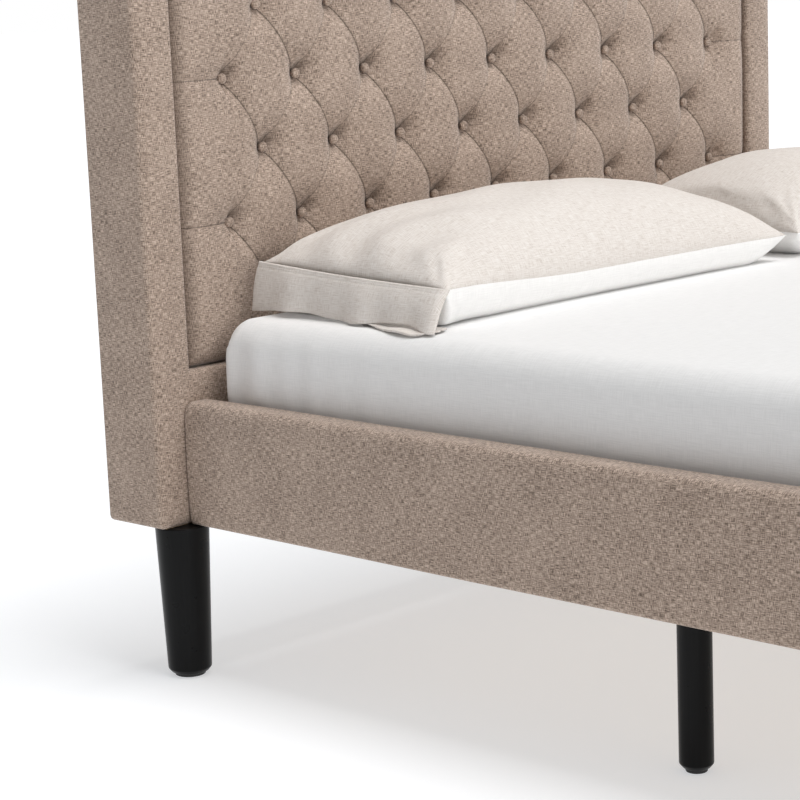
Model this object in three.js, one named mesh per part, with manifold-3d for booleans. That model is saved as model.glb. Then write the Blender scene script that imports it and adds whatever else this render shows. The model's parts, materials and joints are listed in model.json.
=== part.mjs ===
// An upholstered full-size bed: a diamond-tufted headboard in a padded border, padded side and foot
// rails on turned legs, a slatted base, a mattress in its fitted sheet and two pillows.
// Millimetres, +Z up, X across the bed, the headboard at +Y. The origin is on the floor, under the
// middle of the bed's outline.
import * as THREE from "three";
import { mergeVertices } from "three/addons/utils/BufferGeometryUtils.js";
import Module from "manifold-3d";

const wasm = await Module();
wasm.setup();

// Driving sizes ---------------------------------------------------------------------------------

const GAP = 0.3; // between neighbours that touch
const MATTRESS_WIDTH = 1372;
const MATTRESS_LENGTH = 1905;
const MATTRESS_THICKNESS = 200;
const MATTRESS_CORNER_RADIUS = 55; // seen from above
const MATTRESS_EDGE_RADIUS = 42; // of the top and bottom edges
const SHEET_THICKNESS = 1.5;
const SHEET_TUCK = 70; // how far the sheet reaches in under the mattress
const MATTRESS_SIDE_CLEARANCE = 6; // sheet to each side rail
const MATTRESS_HEAD_CLEARANCE = 24; // sheet to the headboard
const MATTRESS_FOOT_CLEARANCE = 8;

const FLOOR_CLEARANCE = 240; // floor to the underside of the rails and the headboard
const RAIL_HEIGHT = 184;
const RAIL_THICKNESS = 56;
const RAIL_BOARD_THICKNESS = 22;
const RAIL_BOARD_MARGIN = 17; // padding above and below the board
const RAIL_INNER_PADDING = 10; // between the board and the mattress side of the cover
const RAIL_EDGE_RADIUS = 9;
const FASTENER_GRID = 14; // how far a bolt stands from the edge of its plate or block

const HEADBOARD_HEIGHT = 1210;
const HEADBOARD_DEPTH = 130;
const POST_OVERHANG = 54; // the post's outer face beyond the rail's
const BORDER_WIDTH = 76;
const BORDER_EDGE_RADIUS = 8;
const APRON_RISE = 54; // the apron's top edge above the rails
const FRONT_PADDING = 8; // on the front of the border's timbers
const SIDE_PADDING = 12;
const REAR_PADDING = 8;
const PANEL_BOARD_SETBACK = 46; // border face to the board behind the tufting
const PANEL_BOARD_THICKNESS = 12;
const TUFT_RECESS = 6; // border face to the crests of the tufting
const TUFT_EDGE_RADIUS = 16;
const DUST_COVER_THICKNESS = 2;
const APRON_FOOT_PADDING = 14; // under the timber inside the apron
const STILE_WIDTH = 52;
const GROOVE_DEPTH = 10; // how far the panel board sits in the timbers round it

const LEDGE_WIDTH = 38;
const LEDGE_RISE = 25.5; // underside of the ledges and beam above that of the rails
const SLAT_COUNT = 10;
const SLAT_WIDTH = 100;
const SLAT_THICKNESS = 20;
const SLAT_END_CLEARANCE = 3; // slat end to the rail
const FIRST_SLAT_INSET = 20; // mattress end to the nearest slat
const MATTRESS_DROP = 74.5; // slat tops below the rail tops
const BEAM_WIDTH = 38;
const HANGER_PLATE = 3;
const HANGER_FLANGE = 32; // beyond the beam on each side
const HANGER_REACH = 40; // length of the pocket
const LEG_BOARD_WIDTH = 140;
const LEG_BOARD_THICKNESS = 23;
const LEG_BOARD_FROM_HEAD = 865;
const SUPPORT_LEG_INSET = 125; // a rail's outer face to the straight leg's centre
const SUPPORT_LEG_RADIUS = 23.5;

const CORNER_LEG_TOP_RADIUS = 42;
const CORNER_LEG_FOOT_RADIUS = 34;
const LEG_CHAMFER = 5;
const LEG_SIDES = 36;
const STUD_RADIUS = 4; // the steel stud in a leg's top
const STUD_LENGTH = 30;
const STUD_COVER = 3; // wood left above a straight leg's stud
const STUD_SIDES = 12;
const HEAD_LEG_SETBACK = 18; // leg's centre behind the border face
const HEAD_LEG_INSET = 53; // leg's centre in from the post's outer face
const FOOT_LEG_INSET = 80; // leg's centre in from both outer faces
const GLIDE_THICKNESS = 5;
const CORNER_GLIDE_RADIUS = 24;
const SUPPORT_GLIDE_RADIUS = 15;

const BRACKET_THICKNESS = 3;
const BRACKET_LEG = 56;
const BRACKET_RISE = 10; // its lower edge above the underside of the rail
const CORNER_CLEARANCE = 5; // brackets and blocks below the slats
const BLOCK_SIDE = 105; // the foot corner block, along each rail
const BOLT_RADIUS = 4;
const HOLE_CLEARANCE = 0.5; // round a bolt or a stud
const BOLT_HEAD_RADIUS = 8;
const BOLT_HEAD_THICKNESS = 5;
const BOLT_SHANK = 32;
const BOLT_SIDES = 16;

const PILLOW_HEIGHT = 157;
const PILLOW_SEAM_HEIGHT = 47; // the side seam above the sheet
const PILLOW_DEPTH = 414;
const PILLOW_HEADBOARD_CLEARANCE = 6;
const LEFT_PILLOW_LENGTH = 868;
const LEFT_PILLOW_START = -606; // its left seam, across the bed
const CUFF_DROP = 66; // the pillowcase's hem, hanging from its open end
const CUFF_THICKNESS = 12;
const CUFF_OVERLAP = 48; // how far the hem reaches into the pillow's end
const RIGHT_PILLOW_LENGTH = 505;
const PILLOW_SPACING = 12;

// Places worked out from them -------------------------------------------------------------------

const mattressHalf = MATTRESS_WIDTH / 2;
const sheetMargin = SHEET_THICKNESS + GAP;
const railInner = mattressHalf + sheetMargin + MATTRESS_SIDE_CLEARANCE;
const railOuter = railInner + RAIL_THICKNESS;
const postOuter = railOuter + POST_OVERHANG;
const panelHalf = postOuter - BORDER_WIDTH;
const railTop = FLOOR_CLEARANCE + RAIL_HEIGHT;
const apronTop = railTop + APRON_RISE;
const slatTop = railTop - MATTRESS_DROP;
const ledgeTop = slatTop - SLAT_THICKNESS;
const ledgeBottom = FLOOR_CLEARANCE + LEDGE_RISE;
const beamDepth = ledgeTop - ledgeBottom;

// The border's front face is the line that everything along the bed is set out from.
const innerLength = MATTRESS_HEAD_CLEARANCE + MATTRESS_LENGTH + 2 * sheetMargin
  + MATTRESS_FOOT_CLEARANCE;
const totalLength = HEADBOARD_DEPTH + innerLength + RAIL_THICKNESS;
const face = totalLength / 2 - HEADBOARD_DEPTH;
const rear = face + HEADBOARD_DEPTH;
const footInner = face - innerLength;
const footOuter = footInner - RAIL_THICKNESS;
const mattressHead = face - MATTRESS_HEAD_CLEARANCE - sheetMargin;
const mattressBottom = slatTop + GAP + sheetMargin;
const sheetTop = mattressBottom + MATTRESS_THICKNESS + sheetMargin;

// Solids ----------------------------------------------------------------------------------------

// A closed geometry as a solid for joining and cutting.
function solid(geometry) {
  const bare = geometry.index ? geometry.toNonIndexed() : geometry.clone();
  bare.deleteAttribute("normal");
  bare.deleteAttribute("uv");
  const merged = mergeVertices(bare, 1e-3);
  return new wasm.Manifold(new wasm.Mesh({
    numProp: 3,
    vertProperties: merged.attributes.position.array,
    triVerts: new Uint32Array(merged.index.array),
  }));
}

// A solid's vertices and triangles as flat-shaded geometry.
function geometryOf(made) {
  const { vertProperties, triVerts, numProp } = made.getMesh();
  const positions = new Float32Array((vertProperties.length / numProp) * 3);
  for (let i = 0; i < positions.length / 3; i++) {
    positions.set(vertProperties.subarray(i * numProp, i * numProp + 3), i * 3);
  }
  const geometry = new THREE.BufferGeometry();
  geometry.setAttribute("position", new THREE.BufferAttribute(positions, 3));
  geometry.setIndex(new THREE.BufferAttribute(new Uint32Array(triVerts), 1));
  const flat = geometry.toNonIndexed();
  flat.computeVertexNormals();
  return flat;
}

// A solid with each of the others taken out of it.
function cut(geometry, ...others) {
  const made = others.reduce((left, other) => left.subtract(solid(other)), solid(geometry));
  return geometryOf(made);
}

// A block between two corners.
function block([x0, x1], [y0, y1], [z0, z1]) {
  const geometry = new THREE.BoxGeometry(x1 - x0, y1 - y0, z1 - z0);
  return geometry.translate((x0 + x1) / 2, (y0 + y1) / 2, (z0 + z1) / 2);
}

// A span widened by a margin at both ends.
const widened = ([low, high], margin) => [low - margin, high + margin];

// A rectangle with rounded corners, drawn from its lower left corner.
function roundedRectangle(width, height, radius) {
  const shape = new THREE.Shape();
  shape.moveTo(radius, 0);
  shape.lineTo(width - radius, 0);
  shape.absarc(width - radius, radius, radius, -Math.PI / 2, 0);
  shape.lineTo(width, height - radius);
  shape.absarc(width - radius, height - radius, radius, 0, Math.PI / 2);
  shape.lineTo(radius, height);
  shape.absarc(radius, height - radius, radius, Math.PI / 2, Math.PI);
  shape.lineTo(0, radius);
  shape.absarc(radius, radius, radius, Math.PI, Math.PI * 1.5);
  return shape;
}

// A bar along one axis whose cross-section has rounded corners.
function roundedBar(axis, [x0, x1], [y0, y1], [z0, z1], radius) {
  const sections = {
    x: { width: y1 - y0, height: z1 - z0, depth: x1 - x0 },
    y: { width: x1 - x0, height: z1 - z0, depth: y1 - y0 },
    z: { width: x1 - x0, height: y1 - y0, depth: z1 - z0 },
  };
  const { width, height, depth } = sections[axis];
  const geometry = new THREE.ExtrudeGeometry(roundedRectangle(width, height, radius), {
    depth, bevelEnabled: false, curveSegments: 3,
  });
  if (axis === "z") return geometry.translate(x0, y0, z0);
  if (axis === "y") return geometry.rotateX(Math.PI / 2).translate(x0, y1, z0);
  return geometry.rotateX(Math.PI / 2).rotateZ(Math.PI / 2).translate(x0, y0, z0);
}

// A slab with rounded corners seen along Z and rounded top and bottom edges.
function cushion(width, length, height, cornerRadius, edgeRadius) {
  const shape = roundedRectangle(width - 2 * edgeRadius, length - 2 * edgeRadius,
    cornerRadius - edgeRadius);
  const geometry = new THREE.ExtrudeGeometry(shape, {
    depth: height - 2 * edgeRadius, bevelThickness: edgeRadius, bevelSize: edgeRadius,
    bevelSegments: 3, curveSegments: 5,
  });
  geometry.computeBoundingBox();
  const middle = geometry.boundingBox.getCenter(new THREE.Vector3());
  return geometry.translate(-middle.x, -middle.y, -geometry.boundingBox.min.z);
}

// A turned piece: a profile of [radius, height] points about the Z axis, from the axis to the axis.
function turned(profile, sides) {
  const points = profile.map(([radius, height]) => new THREE.Vector2(radius, height));
  return new THREE.LatheGeometry(points, sides).rotateX(Math.PI / 2);
}

// A round rod between two heights.
const rod = (radius, [low, high], count) => turned([[0, low], [radius, low], [radius, high],
  [0, high]], count);

// Finishes --------------------------------------------------------------------------------------

const finish = (color, roughness, metalness = 0) => ({ color, roughness, metalness });
const linenWeave = finish(0xa7978b, 0.95);
const cottonSheet = finish(0xf1f0ef, 0.9);
const linenCase = finish(0xded8d1, 0.92);
const ticking = finish(0xe9e6e0, 0.95);
const cambric = finish(0x35332f, 0.95);
const pine = finish(0xcaa878, 0.7);
const plywood = finish(0xc19a68, 0.75);
const blackLacquer = finish(0x161617, 0.35);
const nylon = finish(0x202021, 0.55);
const blackSteel = finish(0x2a2b2d, 0.45, 0.9);

const bed = new THREE.Group();

// Adds one named piece, placed by its position and rotation.
function add(name, geometry, look, position = [0, 0, 0], rotation = [0, 0, 0]) {
  const mesh = new THREE.Mesh(geometry, new THREE.MeshStandardMaterial(look));
  mesh.name = name;
  mesh.position.set(...position);
  mesh.rotation.set(...rotation);
  bed.add(mesh);
  return mesh;
}

const sides = [["left", -1], ["right", 1]];

// The span across the bed between two distances from the middle, on the left or right side.
const across = (side, near, far) => (side > 0 ? [near, far] : [-far, -near]);

// Headboard -------------------------------------------------------------------------------------

const headboardSpan = [face, rear];
const timberDepth = [face + FRONT_PADDING, rear - REAR_PADDING];
const headboardBottom = FLOOR_CLEARANCE;
const timberBottom = headboardBottom + GAP;
const timberTop = HEADBOARD_HEIGHT - SIDE_PADDING;
const panelBoardDepth = [face + PANEL_BOARD_SETBACK,
  face + PANEL_BOARD_SETBACK + PANEL_BOARD_THICKNESS];
const postTimber = (side) => across(side, panelHalf + SIDE_PADDING, postOuter - SIDE_PADDING);
const crossTimber = widened([-panelHalf - SIDE_PADDING, panelHalf + SIDE_PADDING], -GAP);
const topTimber = [HEADBOARD_HEIGHT - BORDER_WIDTH + SIDE_PADDING, timberTop];
const apronTimber = [headboardBottom + APRON_FOOT_PADDING, apronTop - SIDE_PADDING];
const panelOpening = [apronTop, HEADBOARD_HEIGHT - BORDER_WIDTH];
const panelBoardSpan = widened(crossTimber, GROOVE_DEPTH);
const panelBoardHeight = widened(panelOpening, SIDE_PADDING + GROOVE_DEPTH);

const stileAcross = [-STILE_WIDTH / 2, STILE_WIDTH / 2];
const stileDepth = [panelBoardDepth[1] + GAP, timberDepth[1]];
const stileHeight = widened([apronTimber[1], topTimber[0]], -GAP);

// The panel board is held in a groove in the timbers all round it.
const panelBoardGroove = block(widened(panelBoardSpan, GAP), widened(panelBoardDepth, GAP),
  widened(panelBoardHeight, GAP));
const stileHole = block(widened(stileAcross, GAP), widened(stileDepth, GAP), stileHeight);
const crossTimberHole = (height) => block(widened(crossTimber, GAP), widened(timberDepth, GAP),
  widened(height, GAP));

for (const [hand, side] of sides) {
  const timber = postTimber(side);
  add(`headboard_post_${hand}`, cut(block(timber, timberDepth, [timberBottom, timberTop]),
    panelBoardGroove), pine);
  const cover = roundedBar("z", across(side, panelHalf, postOuter), headboardSpan,
    [headboardBottom, HEADBOARD_HEIGHT], BORDER_EDGE_RADIUS);
  add(`headboard_border_${hand}`, cut(cover,
    block(widened(timber, GAP), widened(timberDepth, GAP), [0, timberTop + GAP]),
    crossTimberHole(topTimber), crossTimberHole(apronTimber), panelBoardGroove), linenWeave);
}

add("headboard_top_rail", cut(block(crossTimber, timberDepth, topTimber), panelBoardGroove), pine);
add("headboard_bottom_rail", cut(block(crossTimber, timberDepth, apronTimber), panelBoardGroove),
  pine);
add("headboard_panel_board", block(panelBoardSpan, panelBoardDepth, panelBoardHeight), plywood);
add("headboard_centre_stile", block(stileAcross, stileDepth, stileHeight), pine);

const betweenPosts = widened([-panelHalf, panelHalf], -GAP);
add("headboard_border_top", cut(roundedBar("x", betweenPosts, headboardSpan,
  [HEADBOARD_HEIGHT - BORDER_WIDTH, HEADBOARD_HEIGHT], BORDER_EDGE_RADIUS),
crossTimberHole(topTimber), panelBoardGroove, stileHole), linenWeave);
add("headboard_apron", cut(roundedBar("x", betweenPosts, headboardSpan,
  [headboardBottom, apronTop], BORDER_EDGE_RADIUS),
crossTimberHole(apronTimber), panelBoardGroove, stileHole), linenWeave);

// The tufted pad is a plain slab with soft edges, lying against the board.
const padWidth = 2 * (panelHalf - GAP);
const padHeight = panelOpening[1] - panelOpening[0] - 2 * GAP;
const padDepth = PANEL_BOARD_SETBACK - TUFT_RECESS - GAP;
const padShape = roundedRectangle(padWidth - 2 * TUFT_EDGE_RADIUS,
  padHeight - 2 * TUFT_EDGE_RADIUS, TUFT_EDGE_RADIUS);
const pad = new THREE.ExtrudeGeometry(padShape, {
  depth: padDepth - TUFT_EDGE_RADIUS, bevelThickness: TUFT_EDGE_RADIUS,
  bevelSize: TUFT_EDGE_RADIUS, bevelSegments: 3, curveSegments: 3,
});
// The bevel is wanted on the front only, so the back is cut off flat.
pad.translate(-padWidth / 2 + TUFT_EDGE_RADIUS, TUFT_EDGE_RADIUS, 0);
pad.rotateX(Math.PI / 2);
pad.translate(0, panelBoardDepth[0] - GAP, panelOpening[0] + GAP);
const behindPad = block([-postOuter, postOuter], [panelBoardDepth[0] - GAP, rear],
  [0, HEADBOARD_HEIGHT]);
add("headboard_tufted_pad", cut(pad, behindPad), linenWeave);

// The dust cover closes the back between the posts.
const dustCoverFront = timberDepth[1] + GAP;
add("headboard_dust_cover", block(betweenPosts,
  [dustCoverFront, dustCoverFront + DUST_COVER_THICKNESS], widened(panelOpening, -GAP)), cambric);

// Rails -----------------------------------------------------------------------------------------

const railHeight = [FLOOR_CLEARANCE, railTop];
const boardHeight = widened(railHeight, -RAIL_BOARD_MARGIN);
const sideRailRun = [footInner + GAP, face - GAP];
const railBoard = [railInner + RAIL_INNER_PADDING,
  railInner + RAIL_INNER_PADDING + RAIL_BOARD_THICKNESS];

for (const [hand, side] of sides) {
  const board = across(side, ...railBoard);
  add(`side_rail_${hand}`, block(board, sideRailRun, boardHeight), pine);
  const cover = roundedBar("y", across(side, railInner, railOuter), sideRailRun, railHeight,
    RAIL_EDGE_RADIUS);
  add(`side_rail_cover_${hand}`, cut(cover, block(widened(board, GAP), widened(sideRailRun, GAP),
    widened(boardHeight, GAP))), linenWeave);
}

const footBoardDepth = [footInner - RAIL_INNER_PADDING - RAIL_BOARD_THICKNESS,
  footInner - RAIL_INNER_PADDING];
const footRun = [-railOuter, railOuter];
const footBoardRun = widened(footRun, -SIDE_PADDING);
add("foot_rail", block(footBoardRun, footBoardDepth, boardHeight), pine);
add("foot_rail_cover", cut(roundedBar("x", footRun, [footOuter, footInner], railHeight,
  RAIL_EDGE_RADIUS), block(widened(footBoardRun, GAP), widened(footBoardDepth, GAP),
  [0, boardHeight[1] + GAP])), linenWeave);

// Slatted base ----------------------------------------------------------------------------------

const ledgeHeight = [ledgeBottom, ledgeTop];
const ledgeAcross = [railInner - GAP - LEDGE_WIDTH, railInner - GAP];
const ledgeRun = [footInner + BLOCK_SIDE + 2 * GAP, face - BRACKET_LEG - 2 * GAP];
const beamRun = [footInner + HANGER_PLATE + 2 * GAP, face - HANGER_PLATE - 2 * GAP];

for (const [hand, side] of sides) {
  add(`slat_ledge_${hand}`, block(across(side, ...ledgeAcross), ledgeRun, ledgeHeight), pine);
}
add("centre_beam", block([-BEAM_WIDTH / 2, BEAM_WIDTH / 2], beamRun, ledgeHeight), pine);

// A hanger is a plate on the headboard or foot rail with a pocket that the beam's end drops into.
function hanger() {
  const half = BEAM_WIDTH / 2 + GAP;
  const low = -HANGER_PLATE;
  const plate = block([-half - HANGER_FLANGE, half + HANGER_FLANGE], [0, HANGER_PLATE],
    [low, beamDepth]);
  const pocket = block([-half - HANGER_PLATE, half + HANGER_PLATE], [0, HANGER_REACH],
    [low, beamDepth]);
  const room = block([-half, half], [HANGER_PLATE, HANGER_REACH + GAP], [0, beamDepth + GAP]);
  return geometryOf(solid(plate).add(solid(pocket)).subtract(solid(room)));
}
add("beam_hanger_head", hanger(), blackSteel, [0, face - GAP, ledgeBottom - GAP],
  [0, 0, Math.PI]);
add("beam_hanger_foot", hanger(), blackSteel, [0, footInner + GAP, ledgeBottom - GAP]);

const slatSpan = MATTRESS_LENGTH - 2 * FIRST_SLAT_INSET - SLAT_WIDTH;
const slatPitch = slatSpan / (SLAT_COUNT - 1);
const slatHalf = railInner - SLAT_END_CLEARANCE;
for (let i = 0; i < SLAT_COUNT; i++) {
  const head = mattressHead - FIRST_SLAT_INSET - i * slatPitch;
  add(`slat_${String(i + 1).padStart(2, "0")}`, block([-slatHalf, slatHalf],
    [head - SLAT_WIDTH, head], [ledgeTop + GAP, slatTop]), pine);
}

// The leg board crosses the bed under the ledges and the beam, and takes the three straight legs.
const legBoardTop = ledgeBottom - GAP;
const legBoardMiddle = face - LEG_BOARD_FROM_HEAD;
add("leg_board", block(widened([-railInner, railInner], -GAP),
  [legBoardMiddle - LEG_BOARD_WIDTH / 2, legBoardMiddle + LEG_BOARD_WIDTH / 2],
  [legBoardTop - LEG_BOARD_THICKNESS, legBoardTop]), plywood);

// Corner fixings --------------------------------------------------------------------------------

// A hexagon-head bolt along +Z with the underside of its head at the origin.
function bolt() {
  return turned([[0, -BOLT_SHANK], [BOLT_RADIUS, -BOLT_SHANK], [BOLT_RADIUS, 0],
    [BOLT_HEAD_RADIUS, 0], [BOLT_HEAD_RADIUS, BOLT_HEAD_THICKNESS], [0, BOLT_HEAD_THICKNESS]],
  BOLT_SIDES);
}

// Room for a bolt's shank, along +Z and ending at the origin.
const boltRoom = () => rod(BOLT_RADIUS + HOLE_CLEARANCE, [-BOLT_SHANK - GAP, GAP], BOLT_SIDES);

// Cuts the same hole through pieces that are already in place.
function drill(names, makeHole) {
  for (const name of names) {
    const mesh = bed.getObjectByName(name);
    mesh.geometry = cut(mesh.geometry, makeHole());
  }
}

const bracketHeight = [FLOOR_CLEARANCE + BRACKET_RISE, ledgeTop - CORNER_CLEARANCE];
const bracketMiddle = (bracketHeight[0] + bracketHeight[1]) / 2;

for (const [hand, side] of sides) {
  // An angle of steel joins the headboard's apron to the side rail, inside the corner.
  const inner = railInner - GAP;
  const alongRail = block(across(side, inner - BRACKET_THICKNESS, inner),
    [face - GAP - BRACKET_LEG, face - GAP], bracketHeight);
  const alongApron = block(across(side, inner - BRACKET_LEG, inner),
    [face - GAP - BRACKET_THICKNESS, face - GAP], bracketHeight);
  add(`corner_bracket_${hand}`, geometryOf(solid(alongRail).add(solid(alongApron))), blackSteel);
  const boltAt = [side * (inner - BRACKET_THICKNESS - GAP),
    face - GAP - BRACKET_LEG + FASTENER_GRID, bracketMiddle];
  add(`bracket_bolt_${hand}`, bolt(), blackSteel, boltAt, [0, (-side * Math.PI) / 2, 0]);
  drill([`corner_bracket_${hand}`, `side_rail_cover_${hand}`, `side_rail_${hand}`],
    () => boltRoom().rotateY((-side * Math.PI) / 2).translate(...boltAt));

  // A three-cornered block of wood fills the foot corner, over the tapered leg.
  const corner = new THREE.Shape([[0, 0], [BLOCK_SIDE, 0], [0, BLOCK_SIDE]]
    .map(([x, y]) => new THREE.Vector2(x, y)));
  const prism = new THREE.ExtrudeGeometry(corner, {
    depth: ledgeTop - CORNER_CLEARANCE - FLOOR_CLEARANCE - GAP, bevelEnabled: false,
  });
  if (side > 0) prism.rotateZ(Math.PI / 2);
  prism.translate(side * inner, footInner + GAP, FLOOR_CLEARANCE + GAP);
  add(`corner_block_${hand}`, geometryOf(solid(prism)), pine);
}

// Legs ------------------------------------------------------------------------------------------

const cornerLegTop = FLOOR_CLEARANCE - GAP;
const supportLegTop = legBoardTop - LEG_BOARD_THICKNESS - GAP;
const legBottom = GLIDE_THICKNESS + GAP;

// A leg that tapers from its top to a chamfered foot, with a steel stud standing out of its top.
function leg(topRadius, footRadius, top, stud) {
  const foot = footRadius - LEG_CHAMFER;
  const wood = solid(turned([[0, legBottom], [foot, legBottom],
    [footRadius, legBottom + LEG_CHAMFER], [topRadius, top], [0, top]], LEG_SIDES));
  return geometryOf(wood.add(solid(rod(STUD_RADIUS, [top - stud / 2, top + stud], STUD_SIDES))));
}

// Drills room for a leg's stud in the piece over the leg.
function studRoom(names, [x, y], top, stud) {
  drill(names, () => rod(STUD_RADIUS + HOLE_CLEARANCE, [top - GAP, top + stud + GAP], STUD_SIDES)
    .translate(x, y, 0));
}

// A glide is a low disc with a broken lower edge.
function glide(radius) {
  const broken = 1;
  return turned([[0, 0], [radius - broken, 0], [radius, broken], [radius, GLIDE_THICKNESS],
    [0, GLIDE_THICKNESS]], LEG_SIDES);
}

for (const [hand, side] of sides) {
  const corners = [
    { end: "head", holder: `headboard_post_${hand}`,
      place: [side * (postOuter - HEAD_LEG_INSET), face + HEAD_LEG_SETBACK, 0] },
    { end: "foot", holder: `corner_block_${hand}`,
      place: [side * (railOuter - FOOT_LEG_INSET), footOuter + FOOT_LEG_INSET, 0] },
  ];
  for (const { end, holder, place } of corners) {
    add(`leg_${end}_${hand}`, leg(CORNER_LEG_TOP_RADIUS, CORNER_LEG_FOOT_RADIUS, cornerLegTop,
      STUD_LENGTH), blackLacquer, place);
    add(`glide_${end}_${hand}`, glide(CORNER_GLIDE_RADIUS), nylon, place);
    studRoom([holder], place, cornerLegTop, STUD_LENGTH);
  }
}
for (const [hand, side] of [["left", -1], ["middle", 0], ["right", 1]]) {
  const place = [side * (railOuter - SUPPORT_LEG_INSET), legBoardMiddle, 0];
  const stud = LEG_BOARD_THICKNESS - STUD_COVER;
  add(`support_leg_${hand}`, leg(SUPPORT_LEG_RADIUS, SUPPORT_LEG_RADIUS, supportLegTop, stud),
    blackLacquer, place);
  add(`support_glide_${hand}`, glide(SUPPORT_GLIDE_RADIUS), nylon, place);
  studRoom(["leg_board"], place, supportLegTop, stud);
}

// Mattress and fitted sheet ---------------------------------------------------------------------

const mattressMiddle = mattressHead - MATTRESS_LENGTH / 2;
// The mattress, or the same shape with a margin all round it.
const grownMattress = (margin) => cushion(MATTRESS_WIDTH + 2 * margin,
  MATTRESS_LENGTH + 2 * margin, MATTRESS_THICKNESS + 2 * margin, MATTRESS_CORNER_RADIUS + margin,
  MATTRESS_EDGE_RADIUS + margin).translate(0, 0, -margin);
add("mattress", grownMattress(0), ticking, [0, mattressMiddle, mattressBottom]);

// The sheet is a skin round the mattress with a wide opening left underneath.
const tucked = MATTRESS_EDGE_RADIUS + SHEET_TUCK;
const sheetOpening = block([-mattressHalf + tucked, mattressHalf - tucked],
  [-MATTRESS_LENGTH / 2 + tucked, MATTRESS_LENGTH / 2 - tucked],
  [-2 * sheetMargin, MATTRESS_EDGE_RADIUS]);
add("fitted_sheet", cut(grownMattress(sheetMargin), grownMattress(GAP), sheetOpening),
  cottonSheet, [0, mattressMiddle, mattressBottom]);

// Pillows ---------------------------------------------------------------------------------------

const PILLOW_COLUMNS = 36;
const PILLOW_ROWS = 20;
const PILLOW_SQUARENESS = 0.42; // 1 is an ellipse seen from above, 0 a rectangle
const PILLOW_CROWN = 0.75; // how full the crown is
const PILLOW_FLATNESS = 1.2; // how much of the underside lies flat

// A pillow is a ball drawn out to a rectangle with soft corners, crowned above its seam and
// flattened below it where it rests.
function pillow(length) {
  const geometry = new THREE.SphereGeometry(1, PILLOW_COLUMNS, PILLOW_ROWS).rotateX(Math.PI / 2);
  const points = geometry.attributes.position;
  const above = PILLOW_HEIGHT - PILLOW_SEAM_HEIGHT;
  const squared = (value, power) => Math.sign(value) * Math.abs(value) ** power;
  for (let i = 0; i < points.count; i++) {
    const [x, y, z] = [points.getX(i), points.getY(i), points.getZ(i)];
    const ring = Math.hypot(x, y);
    const spread = ring ** PILLOW_SQUARENESS;
    const [cos, sin] = ring > 0 ? [x / ring, y / ring] : [1, 0];
    const acrossBed = (squared(cos, PILLOW_SQUARENESS) * spread * length) / 2;
    const alongBed = (squared(sin, PILLOW_SQUARENESS) * spread * PILLOW_DEPTH) / 2;
    const below = Math.min(1, PILLOW_FLATNESS * Math.sqrt(Math.abs(z))) * PILLOW_SEAM_HEIGHT;
    const height = z > 0 ? above * z ** PILLOW_CROWN : -below;
    points.setXYZ(i, acrossBed, alongBed, height);
  }
  return geometry.translate(0, 0, PILLOW_SEAM_HEIGHT);
}

const pillowBottom = sheetTop + 1;
const pillowMiddle = face - PILLOW_HEADBOARD_CLEARANCE - PILLOW_DEPTH / 2;
const leftMiddle = LEFT_PILLOW_START + LEFT_PILLOW_LENGTH / 2;
const rightMiddle = LEFT_PILLOW_START + LEFT_PILLOW_LENGTH + PILLOW_SPACING
  + RIGHT_PILLOW_LENGTH / 2;
const cuff = block([LEFT_PILLOW_START - CUFF_THICKNESS, LEFT_PILLOW_START + CUFF_OVERLAP],
  [pillowMiddle - PILLOW_DEPTH / 2, pillowMiddle + PILLOW_DEPTH / 2],
  [pillowBottom, pillowBottom + CUFF_DROP]);
const leftPillow = pillow(LEFT_PILLOW_LENGTH).translate(leftMiddle, pillowMiddle, pillowBottom);
add("pillow_left", geometryOf(solid(leftPillow).add(solid(cuff))), linenCase);
add("pillow_right", geometryOf(solid(pillow(RIGHT_PILLOW_LENGTH))), linenCase,
  [rightMiddle, pillowMiddle, pillowBottom]);

export default bed;
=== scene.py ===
"""An upholstered bed with a button-tufted headboard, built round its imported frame.

Each operator of this add-on makes one piece or one group of like pieces. Metres, +Z up, X across
the bed, the headboard at +Y, the floor at Z = 0.
"""
import json
import math

import bpy
import numpy as np
from bpy.props import FloatProperty, FloatVectorProperty, IntProperty, PointerProperty
from mathutils import Matrix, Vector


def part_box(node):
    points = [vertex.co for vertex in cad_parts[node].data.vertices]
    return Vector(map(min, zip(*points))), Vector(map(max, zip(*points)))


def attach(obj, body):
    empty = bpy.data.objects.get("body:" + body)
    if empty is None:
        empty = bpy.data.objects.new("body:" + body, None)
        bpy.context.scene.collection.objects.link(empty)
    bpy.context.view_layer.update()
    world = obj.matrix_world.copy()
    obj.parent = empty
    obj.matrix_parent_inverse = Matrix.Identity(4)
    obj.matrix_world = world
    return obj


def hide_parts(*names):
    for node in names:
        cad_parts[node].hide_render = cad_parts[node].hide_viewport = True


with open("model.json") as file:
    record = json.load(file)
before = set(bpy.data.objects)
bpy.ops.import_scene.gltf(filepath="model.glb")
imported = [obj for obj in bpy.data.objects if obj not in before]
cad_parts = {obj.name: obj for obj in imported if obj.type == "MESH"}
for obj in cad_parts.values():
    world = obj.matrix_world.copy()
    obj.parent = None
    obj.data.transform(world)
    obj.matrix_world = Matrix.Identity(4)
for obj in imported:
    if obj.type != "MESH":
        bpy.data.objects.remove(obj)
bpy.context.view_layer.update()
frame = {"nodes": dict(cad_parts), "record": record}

bl_info = {
    "name": "Upholstered Headboard Bed",
    "version": (1, 0, 0),
    "blender": (4, 5, 0),
    "location": "View3D > Sidebar > Bed",
    "description": "Makes an upholstered bed with a button-tufted headboard, piece by piece",
    "category": "Add Mesh",
}

SIDES = (("left", -1), ("right", 1))
WEAVE = "weave"  # the UV map that the fabrics read, in metres of cloth


def span(node):
    """Lowest and highest corner of a CAD node, as arrays."""
    low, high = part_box(node)
    return np.array(low), np.array(high)


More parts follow.
